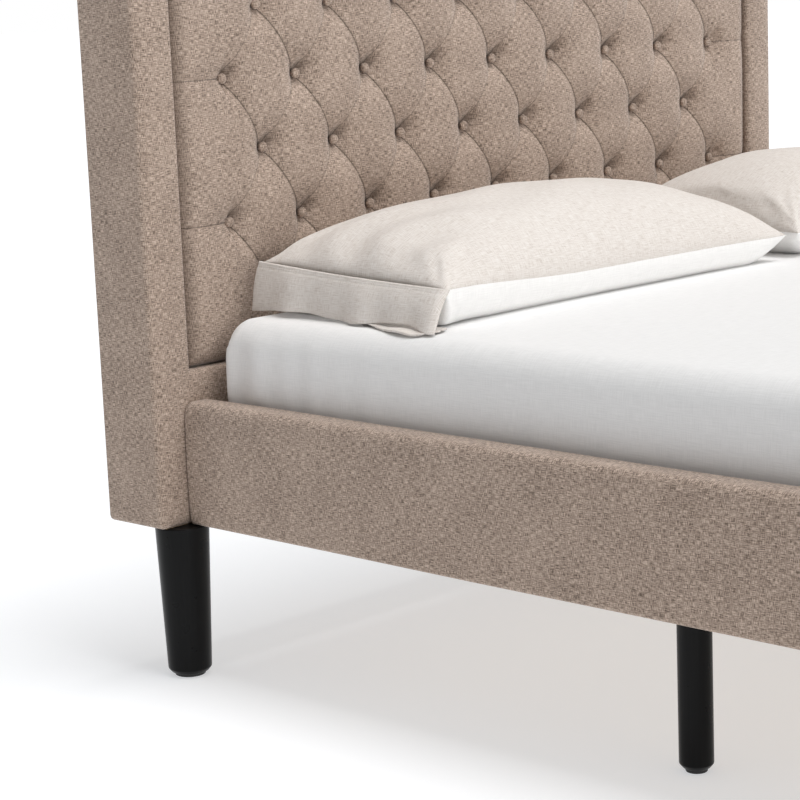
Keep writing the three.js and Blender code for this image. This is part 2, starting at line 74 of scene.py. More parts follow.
# The places that the rest is set out from, read off the frame -----------------------------------

BORDER_LOW, BORDER_HIGH = span("headboard_border_left")
APRON_LOW = span("headboard_apron")[0]
TOP_HIGH = span("headboard_border_top")[1]
PAD_LOW, PAD_HIGH = span("headboard_tufted_pad")
SHEET_LOW, SHEET_HIGH = span("fitted_sheet")
MATTRESS_LOW, MATTRESS_HIGH = span("mattress")
FACE = float(APRON_LOW[1])  # the front of the headboard's border
PANEL = (float(PAD_LOW[0]), float(PAD_HIGH[0]), float(PAD_LOW[2]), float(PAD_HIGH[2]))


# Sizes and colours that a user may change --------------------------------------------------------


def length(name, description, default):
    """A size in metres."""
    return FloatProperty(name=name, description=description, default=default, min=0.0, max=10.0,
                         unit="LENGTH", precision=4)


def colour(name, description, default):
    """A linear colour."""
    return FloatVectorProperty(name=name, description=description, default=default, min=0.0,
                               max=1.0, size=3, subtype="COLOR")


class BedSizes(bpy.types.PropertyGroup):
    """Sizes of the padding, the tufting and the bedding, and the strength of the lights."""

    border_edge: length("Border edge", "Radius of the border's padded edges", 0.009)
    border_crown: length("Border crown", "How far the border's edges fall back from its middle",
                         0.0022)
    rail_edge: length("Rail edge", "Radius of the rails' outer edges", 0.011)
    rail_crown: length("Rail crown", "How far the rails' outer faces swell", 0.0025)
    rail_top_crown: length("Rail top crown", "How far the padding over the rails stands up", 0.0070)
    button_pitch: length("Button pitch", "Spacing of the buttons along a row", 0.155)
    row_pitch: length("Row pitch", "Spacing of the rows of buttons", 0.110)
    tuft_depth: length("Tuft depth", "From the crests of the tufting down to the buttons", 0.023)
    tuft_reach: length("Tuft reach", "How far round a button its pull is felt", 0.022)
    pleat_depth: length("Pleat depth", "Depth of the soft valleys between the buttons", 0.0055)
    fold_depth: length("Fold depth", "Depth of the fold in each pleat", 0.0026)
    button_radius: length("Button radius", "Radius of a covered button", 0.0082)
    button_height: length("Button height", "How far a button stands out", 0.0062)
    sheet_thickness: length("Sheet thickness", "Thickness of the fitted sheet", 0.0012)
    gather: length("Gathers", "Depth of the soft gathers at the corners of the sheet", 0.0080)
    pillow_fill: FloatProperty(name="Pillow fill", description="How full the pillows are",
                               default=0.75, min=0.0, max=1.0, subtype="FACTOR")
    sky_light: FloatProperty(name="Sky light", description="Light from all round", default=0.32,
                             min=0.0, max=4.0)
    key_light: FloatProperty(name="Key light", description="Light from the soft key",
                             default=2.42, min=0.0, max=20.0)
    front_light: FloatProperty(name="Front light", description="Soft light from the foot's side",
                               default=0.80, min=0.0, max=20.0)
    leg_sides: IntProperty(name="Leg sides", description="Facets round a leg", default=72, min=12,
                           max=256)


class BedColours(bpy.types.PropertyGroup):
    """Colours of the cloths, the woods and the finishes."""

    # The darkest yarn, which also colours the shade painted on the tufting.
    linen_dark: colour("Linen, dark yarn", "Darkest yarn of the upholstery", (0.120, 0.085, 0.064))
    linen_mid: colour("Linen, ground", "Main colour of the upholstery", (0.372, 0.280, 0.222))
    linen_light: colour("Linen, light yarn", "Lightest yarn of the upholstery",
                        (0.640, 0.510, 0.420))
    case_ground: colour("Pillowcase", "Ground of the pillowcases", (0.70, 0.650, 0.605))
    case_yarn: colour("Pillowcase, yarn", "Darker yarn of the pillowcases", (0.50, 0.435, 0.385))
    case_white: colour("Pillowcase back", "Underside of the pillowcases", (0.96, 0.95, 0.935))
    sheet_white: colour("Sheet", "The fitted sheet", (0.83, 0.825, 0.82))
    lacquer: colour("Lacquer", "The legs", (0.004, 0.004, 0.0042))
    floor: colour("Floor", "The floor", (0.575, 0.583, 0.594))


# Meshes -----------------------------------------------------------------------------------------


def grid_faces(rows, columns, close_rows=False, close_columns=False):
    """The quads between neighbouring rows and columns of points, joined round where closed."""
    i, j = np.meshgrid(np.arange(rows if close_rows else rows - 1),
                       np.arange(columns if close_columns else columns - 1), indexing="ij")
    corner_row = np.stack([i, i + 1, i + 1, i], -1).reshape(-1, 4) % rows
    corner_column = np.stack([j, j, j + 1, j + 1], -1).reshape(-1, 4) % columns
    return corner_row * columns + corner_column


def fan(ring, centre):
    """Triangles from each step of a closed ring of points to one centre point."""
    return np.stack([ring, np.roll(ring, -1), np.full(len(ring), centre)], -1)


def signed_volume(points, faces):
    """Six times the volume inside the faces: positive where they face out."""
    total = 0.0
    for polygon in faces:
        a, b, c = (points[polygon[:, k]] for k in range(3))
        total += np.einsum("ij,ij->", a, np.cross(b, c))
        if polygon.shape[1] == 4:
            d = points[polygon[:, 3]]
            total += np.einsum("ij,ij->", a, np.cross(c, d))
    return total


def cloth_map(mesh, along=None):
    """Lays the cloth on each face from the side that it faces most, in metres, so that the weave
    has one scale all over. `along` names the one side to lay it from instead."""
    count = len(mesh.loops)
    corners = np.zeros(count, np.int32)
    mesh.loops.foreach_get("vertex_index", corners)
    points = np.zeros(len(mesh.vertices) * 3, np.float32)
    mesh.vertices.foreach_get("co", points)
    points = points.reshape(-1, 3)[corners]
    normals = np.zeros(len(mesh.polygons) * 3, np.float32)
    mesh.polygons.foreach_get("normal", normals)
    sizes = np.zeros(len(mesh.polygons), np.int32)
    mesh.polygons.foreach_get("loop_total", sizes)
    side = np.abs(normals.reshape(-1, 3)).argmax(1) if along is None else np.full(len(sizes), along)
    side = np.repeat(side, sizes)
    across = np.where(side == 0, points[:, 1], points[:, 0])
    upward = np.where(side == 2, points[:, 1], points[:, 2])
    layer = mesh.uv_layers.new(name=WEAVE)
    layer.data.foreach_set("uv", np.stack([across, upward], -1).astype(np.float32).ravel())


def make_piece(name, points, faces, look, body="bed_frame", slot=None, along=None, closed=True):
    """Puts points (n x 3) and a list of face arrays into a new smooth object at the origin, turned
    to face out, with its cloth map, its material and its body. The slot is not used."""
    faces = [np.asarray(f) for f in faces if len(f)]
    if closed and signed_volume(points, faces) < 0:
        faces = [f[:, ::-1] for f in faces]
    mesh = bpy.data.meshes.new(name)
    mesh.from_pydata(points.tolist(), [], sum((f.tolist() for f in faces), []))
    mesh.update()
    mesh.shade_smooth()
    cloth_map(mesh, along)
    for material in look if isinstance(look, (list, tuple)) else [look]:
        mesh.materials.append(material)
    piece = bpy.data.objects.new(name, mesh)
    bpy.context.scene.collection.objects.link(piece)
    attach(piece, body)
    return piece


def swept(name, rings, look, **facts):
    """A closed piece from rings of points (rows x columns x 3), each ring closed round, with a fan
    of triangles closing the first and the last."""
    rows, columns = rings.shape[:2]
    points = np.concatenate([rings.reshape(-1, 3), rings[:1].mean(1), rings[-1:].mean(1)])
    first = np.arange(columns)
    last = (rows - 1) * columns + first
    faces = [grid_faces(rows, columns, close_columns=True),
             fan(first, rows * columns), fan(last[::-1], rows * columns + 1)]
    return make_piece(name, points, faces, look, **facts)


def rounded_rectangle(low, high, radius, side_steps, corner_steps=6):
    """Points round a rectangle whose corners are quarter circles: each side is cut in side_steps
    and each corner in corner_steps, from the lower right corner round by the upper right."""
    (x0, z0), (x1, z1) = low, high
    radius = np.broadcast_to(radius, 4)
    corners = ((x1, z0, -90), (x1, z1, 0), (x0, z1, 90), (x0, z0, 180))
    arcs = []
    for (x, z, start), r in zip(corners, radius):
        turn = np.radians(start + np.linspace(0, 90, corner_steps + 1))
        centre = np.array([x + (r if x == x0 else -r), z + (r if z == z0 else -r)])
        arcs.append(centre + r * np.stack([np.cos(turn), np.sin(turn)], -1))
    runs = []
    for arc, following in zip(arcs, arcs[1:] + arcs[:1]):
        share = np.linspace(0, 1, side_steps + 1)[1:-1, None]
        runs += [arc, arc[-1] + (following[0] - arc[-1]) * share]
    return np.concatenate(runs)


def wander(points, size, scale, seed=0):
    """A slow wave over space, between about -size and size: the sum of six sines whose
    directions and phases come from one seed, as hand-stretched cloth never lies quite flat."""
    drawn = np.random.default_rng(seed)
    directions = drawn.normal(size=(6, 3))
    directions /= np.linalg.norm(directions, axis=1)[:, None]
    pitch = scale * drawn.uniform(0.6, 1.6, 6)
    phase = drawn.uniform(0, 2 * math.pi, 6)
    waves = np.sin((points @ directions.T) * (2 * math.pi / pitch) + phase)
    return size * waves.sum(-1) / math.sqrt(6)


def smooth_step(value, low, high):
    """0 below low, 1 above high and a soft curve between."""
    share = np.clip((value - low) / (high - low), 0, 1)
    return share * share * (3 - 2 * share)


# Materials --------------------------------------------------------------------------------------


class Value:
    """One output of a material's node, which takes part in plain arithmetic."""

    def __init__(self, look, socket):
        self.look, self.socket = look, socket

    def math(self, operation, first, second=0.0):
        return self.look.math_of(operation, first, second)

    def __add__(self, other):
        return self.math("ADD", self, other)

    __radd__ = __add__

    def __sub__(self, other):
        return self.math("SUBTRACT", self, other)

    def __rsub__(self, other):
        return self.math("SUBTRACT", other, self)

    def __mul__(self, other):
        return self.math("MULTIPLY", self, other)

    __rmul__ = __mul__

    def __truediv__(self, other):
        return self.math("DIVIDE", self, other)

    def __abs__(self):
        return self.math("ABSOLUTE", self)

    def fraction(self):
        return self.math("FRACT", self)

    def sine(self):
        return self.math("SINE", self)

    def between(self, low, high):
        """0 where this is low or less, 1 where it is high or more, straight between."""
        return self.look.node("ShaderNodeMapRange", {"clamp": True},
                              {0: self, 1: low, 2: high, 3: 0.0, 4: 1.0})


class Look:
    """A material under construction."""

    def __init__(self, name):
        self.material = bpy.data.materials.new(name)
        self.material.use_nodes = True
        self.tree = self.material.node_tree
        self.tree.nodes.clear()

    def node(self, kind, settings=None, inputs=None, output=0):
        """A new node: its settings first, then its inputs by name or number, each a number, a
        colour or another node's output."""
        made = self.tree.nodes.new(kind)
        for key, value in (settings or {}).items():
            if key == "stops":
                ramp = made.color_ramp.elements
                while len(ramp) < len(value):
                    ramp.new(0.5)
                for stop, (place, shade) in zip(ramp, value):
                    stop.position, stop.color = place, (*shade, 1.0)
            else:
                setattr(made, key, value)
        for key, value in (inputs or {}).items():
            if isinstance(value, Value):
                self.tree.links.new(value.socket, made.inputs[key])
            else:
                made.inputs[key].default_value = value
        return Value(self, made.outputs[output]) if made.outputs else None

    def math_of(self, operation, first, second):
        return self.node("ShaderNodeMath", {"operation": operation}, {0: first, 1: second})

    def cloth(self):
        return self.node("ShaderNodeUVMap", {"uv_map": WEAVE})

    def place(self):
        return self.node("ShaderNodeTexCoord", output=3)

    def stretched(self, vector, factors):
        return self.node("ShaderNodeVectorMath", {"operation": "MULTIPLY"},
                         {0: vector, 1: factors})

    def part(self, vector, axis):
        return self.node("ShaderNodeSeparateXYZ", None, {0: vector}, output="XYZ".index(axis))

    def noise(self, vector, scale=1.0, detail=2.0, roughness=0.5):
        return self.node("ShaderNodeTexNoise", None, {"Vector": vector, "Scale": scale,
                                                      "Detail": detail, "Roughness": roughness})

    def ramp(self, factor, stops):
        return self.node("ShaderNodeValToRGB", {"stops": stops}, {0: factor})

    def mixed(self, factor, first, second, blend="MIX"):
        first, second = ((*c, 1.0) if isinstance(c, (tuple, list)) else c for c in (first, second))
        return self.node("ShaderNodeMix", {"data_type": "RGBA", "blend_type": blend},
                         {0: factor, 6: first, 7: second}, output=2)

    def bump(self, height, distance, strength=1.0):
        return self.node("ShaderNodeBump", None, {"Height": height, "Distance": distance,
                                                  "Strength": strength})

    def finished(self, **inputs):
        """Joins a Principled shader with these inputs to the output and returns the material."""
        names = {key: key.replace("_", " ").title().replace("Ior", "IOR") for key in inputs}
        values = {names[key]: (*v, 1.0) if isinstance(v, tuple) else v
                  for key, v in inputs.items()}
        shader = self.node("ShaderNodeBsdfPrincipled", None, values)
        self.node("ShaderNodeOutputMaterial", None, {"Surface": shader})
        return self.material


def yarns(look, cloth, pitch, slub):
    """Tone of a plain weave, about 0 to 1: short slubs along the warp and along the weft, and a
    fleck as fine as one yarn. A smaller slub is a longer one."""
    fine, slow = 1 / pitch, slub / pitch
    warp = look.noise(look.stretched(cloth, (fine, slow, 1.0)), 1.0, 1.0, 0.5)
    weft = look.noise(look.stretched(cloth, (slow * 0.7, fine, 1.0)), 1.0, 1.0, 0.5)
    fleck = look.noise(cloth, 1.3 / pitch, 0.0, 0.5)
    return warp * 0.60 + weft * 0.66 + fleck * 0.22 - 0.24


def weave_height(look, cloth, pitch):
    """Height of the crossings of a plain weave: the product of a sine across each yarn."""
    across = (look.part(cloth, "X") * (2 * math.pi / pitch)).sine()
    upward = (look.part(cloth, "Y") * (2 * math.pi / pitch)).sine()
    return across * upward


FINISHES = {}


def finish(name):
    """The finish of that name, made once."""
    if name not in FINISHES:
        FINISHES[name] = MAKERS[name](Look(name), bpy.context.scene.bed_colours)
    return FINISHES[name]


LINEN_PITCH, LINEN_SLUB = 0.0008, 0.11
CASE_PITCH, CASE_SLUB = 0.0009, 0.07
COTTON_PITCH, COTTON_SLUB = 0.0013, 0.06
TICKING_PITCH, TICKING_SLUB = 0.0012, 0.20
LINEN_MIDDLE_ROW = (PANEL[2] + PANEL[3]) / 2 - 0.003  # height of the middle row of buttons


def linen(look, colours, painted_shade=None):
    """Heathered upholstery linen in dark, middle and light yarns. Where masks are given, it is
    darkened with painted shade at the rim, in the hollows by the buttons and along each fold.
    """
    cloth = look.cloth()
    tone = yarns(look, cloth, LINEN_PITCH, LINEN_SLUB)
    drift = look.noise(cloth, 14.0, 3.0)
    tone = tone + (drift - 0.5) * 0.10
    shade = look.ramp(tone, [(0.35, tuple(colours.linen_dark)), (0.50, tuple(colours.linen_mid)),
                             (0.63, tuple(colours.linen_light))])
    height = tone + weave_height(look, cloth, LINEN_PITCH) * 0.12
    if painted_shade:
        line, pocket_shade = painted_shade(look, cloth)
        # Painted shade at the rim, where the pad rolls down behind the border.
        shade = look.mixed(rim_painted_shade(look, cloth), shade, tuple(colours.linen_dark))
        # Painted shade in the hollow above and beside each button.
        shade = look.mixed(pocket_shade * 0.62, shade, tuple(0.8 * c for c in colours.linen_dark))
        # Painted shade along the fold of each pleat.
        shade = look.mixed(line * 0.95, shade, tuple(0.35 * c for c in colours.linen_dark))
    return look.finished(base_color=shade, roughness=0.95, sheen_weight=0.25, sheen_roughness=0.5,
                         specular_ior_level=0.2, normal=look.bump(height, 0.0009, 0.30))


def rim_painted_shade(look, cloth):
    """A mask of painted shade, up to 0.55, where the pad rolls down behind the border."""
    across, upward = look.part(cloth, "X"), look.part(cloth, "Y")
    wide, narrow, full, deepest = 0.026, 0.020, 0.004, 0.55
    side = abs(across).between(PANEL[1] - wide, PANEL[1] - full)
    level = abs(upward - (PANEL[2] + PANEL[3]) / 2)
    half = (PANEL[3] - PANEL[2]) / 2
    ends = level.between(half - narrow, half - full)
    return look.math_of("MAXIMUM", side, ends) * deepest


def tuft_painted_shade(look, cloth):
    """Two masks of painted shade. The first is 1 along the fold of each pleat and 0 away from it:
    the pleats lie on two sets of slanting lines through the buttons, and run straight out to the
    border from the outermost ones. The second is 1 in the hollow that the slack makes above and
    beside each button, and falls to 0 over an ellipse that points away from it."""
    sizes = bpy.context.scene.bed_sizes
    half, pitch = sizes.button_pitch / 2, sizes.row_pitch
    across, upward = look.part(cloth, "X"), look.part(cloth, "Y") - LINEN_MIDDLE_ROW
    falling = (((across / half + upward / pitch) * 0.5).fraction() * 2.0 - 1.0)
    rising = (((across / half - upward / pitch) * 0.5).fraction() * 2.0 - 1.0)
    gauge = half * pitch / math.hypot(half, pitch)
    width = 0.0015
    pocket_long, pocket_wide, pocket_from = 0.026, 0.014, 0.012
    inside = (0.5 - abs(upward) / (4.05 * pitch)).between(0.0, 0.01) \
        * (4.04 * sizes.button_pitch - abs(across)).between(0.0, 0.002)
    falling_line = (abs(falling) * gauge).between(width, 0.0) * (1.0 - abs(rising) * 0.35)
    rising_line = (abs(rising) * gauge).between(width * 0.9, 0.0) * (0.8 - abs(falling) * 0.45)
    row = abs(abs(upward) - pitch)
    level_line = row.between(width, 0.0) * 0.7 \
        * (abs(across) - 4.0 * sizes.button_pitch).between(0.0, 0.002)
    beside = (falling + rising) * (half / 2)
    above = (falling - rising) * (pitch / 2)
    outward = ((beside + above) * math.sqrt(0.5) - pocket_from) / pocket_long
    askew = (beside - above) * math.sqrt(0.5) / pocket_wide
    pocket_shade = (outward * outward + askew * askew).between(1.0, 0.0)
    return (falling_line + rising_line) * inside + level_line, pocket_shade * pocket_shade * inside


def pillow_linen(look, colours):
    """Pale pillowcase linen with a few darker yarns."""
    cloth = look.cloth()
    tone = yarns(look, cloth, CASE_PITCH, CASE_SLUB)
    drift = look.noise(cloth, 6.0, 2.0)
    shade = look.ramp(tone + (drift - 0.5) * 0.08,
                      [(0.22, tuple(colours.case_yarn)), (0.50, tuple(colours.case_ground)),
                       (0.78, (0.80, 0.77, 0.74))])
    return look.finished(base_color=shade, roughness=0.92, sheen_weight=0.2, sheen_roughness=0.5,
                         specular_ior_level=0.2, normal=look.bump(tone, 0.0006, 0.35))


def white_cotton(look, base):
    """Close white cotton with a barely visible weave."""
    cloth = look.cloth()
    tone = yarns(look, cloth, COTTON_PITCH, COTTON_SLUB)
    shade = look.mixed(tone.between(0.3, 0.7), tuple(0.93 * c for c in base),
                       tuple(min(1.0, 1.03 * c) for c in base))
    return look.finished(base_color=shade, roughness=0.88, sheen_weight=0.15, sheen_roughness=0.4,
                         specular_ior_level=0.20, normal=look.bump(tone, 0.0005, 0.35))


def striped_ticking(look):
    """Mattress ticking: a close cream cloth with narrow grey-brown stripes."""
    cloth = look.cloth()
    stripe = abs((look.part(cloth, "X") / 0.024).fraction() - 0.5).between(0.06, 0.03)
    tone = yarns(look, cloth, TICKING_PITCH, TICKING_SLUB)
    shade = look.mixed(stripe * 0.6, (0.78, 0.75, 0.69), (0.42, 0.38, 0.33))
    return look.finished(base_color=shade, roughness=0.93, normal=look.bump(tone, 0.0006, 0.4))


def black_lacquer(look, colours):
    """Satin black lacquer over turned wood, with faint streaks of grain along it."""
    place = look.place()
    grain = look.noise(look.stretched(place, (260.0, 260.0, 9.0)), 1.0, 3.0)
    scuff = look.noise(place, 35.0, 3.0)
    return look.finished(base_color=look.mixed(grain.between(0.3, 0.7), tuple(colours.lacquer),
                                               tuple(1.5 * c for c in colours.lacquer)),
                         roughness=0.24 + 0.10 * scuff, specular_ior_level=0.12,
                         normal=look.bump(grain, 0.0004, 0.06))


def sawn_wood(look, pale, dark, lengths):
    """Planed timber: rings drawn out along the piece, with fine pores."""
    place = look.place()
    bent = look.noise(look.stretched(place, lengths), 2.2, 2.0)
    rings = ((bent * 46.0).sine() * 0.5 + 0.5)
    pores = look.noise(look.stretched(place, tuple(v * 14.0 for v in lengths)), 8.0, 2.0)
    shade = look.mixed((rings * 0.55 + pores * 0.4).between(0.1, 0.95), pale, dark)
    return look.finished(base_color=shade, roughness=0.62 + 0.12 * pores,
                         normal=look.bump(rings * 0.4 + pores, 0.0006, 0.25))


def ply_layers(look):
    """Plywood: thin layers by height, over a rotary-cut face."""
    place = look.place()
    layers = (look.part(place, "Z") * (2 * math.pi / 0.0046)).sine() * 0.5 + 0.5
    figure = look.noise(look.stretched(place, (5.0, 22.0, 22.0)), 3.0, 3.0)
    shade = look.mixed(layers * 0.35 + figure * 0.5, (0.56, 0.39, 0.22), (0.36, 0.22, 0.11))
    return look.finished(base_color=shade, roughness=0.7, normal=look.bump(figure, 0.0005, 0.3))


def black_cambric(look):
    """Thin non-woven dust cloth with its pressed dots."""
    cloth = look.cloth()
    dots = weave_height(look, cloth, 0.0026)
    fibre = look.noise(cloth, 420.0, 3.0)
    shade = look.mixed(fibre.between(0.3, 0.7), (0.022, 0.021, 0.020), (0.055, 0.052, 0.049))
    return look.finished(base_color=shade, roughness=0.93,
                         normal=look.bump(fibre + dots * 0.4, 0.0006, 0.5))


def moulded_nylon(look):
    """Hard black nylon with the fine grain of its mould."""
    grain = look.noise(look.place(), 900.0, 2.0)
    return look.finished(base_color=look.mixed(grain, (0.014, 0.014, 0.014),
                                               (0.026, 0.026, 0.026)),
                         roughness=0.5 + 0.1 * grain, normal=look.bump(grain, 0.0002, 0.3))


def coated_steel(look):
    """Black powder-coated steel with a slight orange-peel skin."""
    peel = look.noise(look.place(), 520.0, 2.0)
    wear = look.noise(look.place(), 60.0, 4.0)
    return look.finished(base_color=look.mixed(wear, (0.020, 0.020, 0.021),
                                               (0.036, 0.036, 0.037)),
                         roughness=0.42 + 0.12 * wear, normal=look.bump(peel, 0.0003, 0.3))


def floor_paint(look, colours):
    """A plain pale floor with the slightest mottle, lit a little from within like a white
    sweep."""
    mottle = look.noise(look.place(), 3.0, 3.0)
    base = tuple(colours.floor)
    shade = look.mixed(mottle, tuple(0.98 * c for c in base), base)
    return look.finished(base_color=shade, roughness=0.8, specular_ior_level=0.0,
                         emission_color=shade, emission_strength=0.88)


PALE_PINE, DARK_PINE = (0.66, 0.47, 0.28), (0.47, 0.29, 0.14)
MAKERS = {
    "linen_weave": linen,
    # The tufted pad's linen, with painted shade along each fold, by its buttons and at its rim.
    "tufted_linen_painted_shade": lambda look, colours: linen(look, colours, tuft_painted_shade),
    "linen_case": pillow_linen,
    "case_back": lambda look, colours: white_cotton(look, colours.case_white),
    "cotton_sheet": lambda look, colours: white_cotton(look, colours.sheet_white),
    "ticking": lambda look, colours: striped_ticking(look),
    "black_lacquer": black_lacquer,
    "pine_across": lambda look, colours: sawn_wood(look, PALE_PINE, DARK_PINE, (1.0, 9.0, 9.0)),
    "pine_along": lambda look, colours: sawn_wood(look, PALE_PINE, DARK_PINE, (9.0, 1.0, 9.0)),
    "pine_upright": lambda look, colours: sawn_wood(look, PALE_PINE, DARK_PINE, (9.0, 9.0, 1.0)),
    "plywood": lambda look, colours: ply_layers(look),
    "cambric": lambda look, colours: black_cambric(look),
    "nylon": lambda look, colours: moulded_nylon(look),
    "black_steel": lambda look, colours: coated_steel(look),
    "floor": floor_paint,
}


# Operators --------------------------------------------------------------------------------------


class BED_OT_border(bpy.types.Operator):
    """Makes the padded border: two posts, the top and the apron under one tight cover"""

    bl_idname = "bed.border"
    bl_label = "Headboard border"

    def execute(self, context):
        sizes = context.scene.bed_sizes
        edge, crown = sizes.border_edge, sizes.border_crown
        back_edge, front_corner, inner_corner, least_corner = 0.005, 0.002, 0.003, 0.0006
        side_steps, corner_steps, face_steps = 60, 7, 14
        unevenness, wave, padded_depth = 0.0005, 0.35, 0.03
        outer = np.array([[BORDER_LOW[0], APRON_LOW[2]], [-BORDER_LOW[0], TOP_HIGH[2]]])
        inner = np.array([[PANEL[0], PANEL[2]], [PANEL[1], PANEL[3]]])
        rear = float(BORDER_HIGH[1])

        def ring(rectangle, inset, depth, radius):
            grown = rectangle + np.array([[inset], [-inset]])
            flat = rounded_rectangle(*grown, max(radius, least_corner), side_steps, corner_steps)
            return np.insert(flat, 1, depth, axis=1)

        quarter = np.radians(np.linspace(0, 90, 7))
        # The rings go up the outer side from the back, over the front edge by a quarter circle,
        # across the face, which falls back to its edges by a fourth power, and down the inside.
        outside = [ring(outer, back_edge * (1 - math.sin(t)), rear - back_edge * (1 - math.cos(t)),
                        edge) for t in quarter]
        outside += [ring(outer, edge * (1 - math.cos(t)), FACE + crown + edge * (1 - math.sin(t)),
                         edge * math.cos(t) + front_corner) for t in quarter]
        inside = [ring(inner, -edge * (1 - math.sin(t)), FACE + crown + edge * (1 - math.cos(t)),
                       inner_corner) for t in quarter]
        inside += [ring(inner, -back_edge * (1 - math.cos(t)),
                        rear - back_edge * (1 - math.sin(t)), inner_corner) for t in quarter]
        shares = np.linspace(0, 1, face_steps)[1:-1]
        front = []
        for share in shares:
            flat = outside[-1] * (1 - share) + inside[0] * share
            flat[:, 1] -= crown * (1 - (2 * share - 1) ** 4)
            front.append(flat)
        back = [inside[-1] * (1 - share) + outside[0] * share for share in (0.25, 0.5, 0.75)]
        rings = np.stack(outside + front + inside + back)
        rings[..., 1] += wander(rings, unevenness, wave, 3) \
            * (rings[..., 1] < FACE + padded_depth)
        faces = grid_faces(*rings.shape[:2], close_rows=True, close_columns=True)
        cover = make_piece("headboard_border", rings.reshape(-1, 3), [faces],
                           finish("linen_weave"), slot="linen_weave")
        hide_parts("headboard_border_left", "headboard_border_right",
                    "headboard_border_top", "headboard_apron")
        return {"FINISHED"}


def tufted_depth(across, upward, sizes):
    """How far the tufted cloth lies behind the crests, in metres: a cusp at every button, falling
    off with distance; a soft valley and a lapped fold along the slanting lines between buttons;
    the same, run out straight, from the outermost buttons to the border; and a quarter-round at
    the border itself."""
    half, pitch = sizes.button_pitch / 2, sizes.row_pitch
    cusp = 1.15  # how sharply the cloth falls to a button
    pocket_side, pocket_up, pocket_radius, pocket_share = 0.013, 0.012, 0.012, 0.45
    valley_reach, lip_reach, groove_reach, lap = 0.016, 0.007, 0.0030, 0.0008
    gather_depth, gather_width, gather_run = 0.0050, 0.010, 0.030
    fade, blend = 0.006, 0.004  # over how far pleats begin and end
    roll, roll_share, deepest = 0.034, 0.72, 0.034
    height = upward - LINEN_MIDDLE_ROW
    buttons = button_places(sizes)
    away = np.hypot(across[..., None] - buttons[:, 0], height[..., None] - buttons[:, 1])
    pull = np.exp(-(away / sizes.tuft_reach) ** cusp).sum(-1)
    # The slack of the cloth is gathered above and beside each button.
    gather = np.hypot(across[..., None] - buttons[:, 0] - pocket_side,
                      height[..., None] - buttons[:, 1] - pocket_up)
    pull += pocket_share * np.exp(-(gather / pocket_radius) ** 2).sum(-1)

    gauge = half * pitch / math.hypot(half, pitch)
    falling = ((across / half + height / pitch) / 2 % 1) * 2 - 1
    rising = ((across / half - height / pitch) / 2 % 1) * 2 - 1
    inside = smooth_step(2.03 * pitch - np.abs(height), 0, fade) \
        * smooth_step(4.03 * sizes.button_pitch - np.abs(across), 0, fade)

    def pleat(distance, middle):
        """Distance is positive on the side that laps over; middle is 0 at a button, 1 halfway."""
        valley = sizes.pleat_depth * np.exp(-np.abs(distance) / valley_reach) \
            * (1 - 0.45 * middle)
        over = 0.5 * (1 + np.tanh(distance / lap))
        lip = -0.45 * sizes.fold_depth * np.exp(-np.abs(distance) / lip_reach)
        groove = sizes.fold_depth * np.exp(-np.abs(distance) / groove_reach)
        return valley + (lip * over + groove * (1 - over)) * (1 - 0.35 * middle)

    def gathered(distance, middle):
        """The pull of a button runs out along its pleats."""
        run = math.hypot(half, pitch) / 2
        return gather_depth * np.exp(-(distance / gather_width) ** 2 - middle * run / gather_run)

    slanting = (pleat(falling * gauge, np.abs(rising))
                + pleat(-rising * gauge, np.abs(falling)) * 0.8
                + gathered(falling * gauge, np.abs(rising))
                + gathered(rising * gauge, np.abs(falling)) * 1.2) * inside
    sideways = np.abs(across) - 4 * sizes.button_pitch
    level = np.abs(height) - pitch
    straight = pleat(-level, np.clip(sideways / 0.1, 0, 1)) \
        * smooth_step(sideways, -blend, fade)
    beyond = np.abs(height) - 2 * pitch
    column = ((across / sizes.button_pitch) % 1 - 0.5) * sizes.button_pitch
    upright = pleat(column, np.clip(beyond / 0.1, 0, 1)) * 0.7 \
        * smooth_step(beyond, -blend, fade) * (np.abs(across) < 3.7 * sizes.button_pitch)

    rim = np.minimum.reduce([across - PANEL[0], PANEL[1] - across, upward - PANEL[2],
                             PANEL[3] - upward])
    edge = roll_share * roll * (1 - np.sqrt(1 - np.clip(1 - rim / roll, 0, 1) ** 2))
    tufting = sizes.tuft_depth * pull + slanting + straight + upright
    return deepest * np.tanh(tufting / deepest) + edge * (1 - 0.6 * np.tanh(tufting / deepest))


def button_places(sizes):
    """Places of the buttons from the middle of the panel: rows of eight and nine in turn."""
    rows = []
    for row in range(-2, 3):
        count = 9 if row % 2 else 8
        across = (np.arange(count) - (count - 1) / 2) * sizes.button_pitch
        rows.append(np.stack([across, np.full(count, row * sizes.row_pitch)], -1))
    return np.concatenate(rows)


CREST = FACE + 0.0015  # the crests of the tufting
BUTTON_CROWN = FACE + 0.0145  # the crowns of its buttons


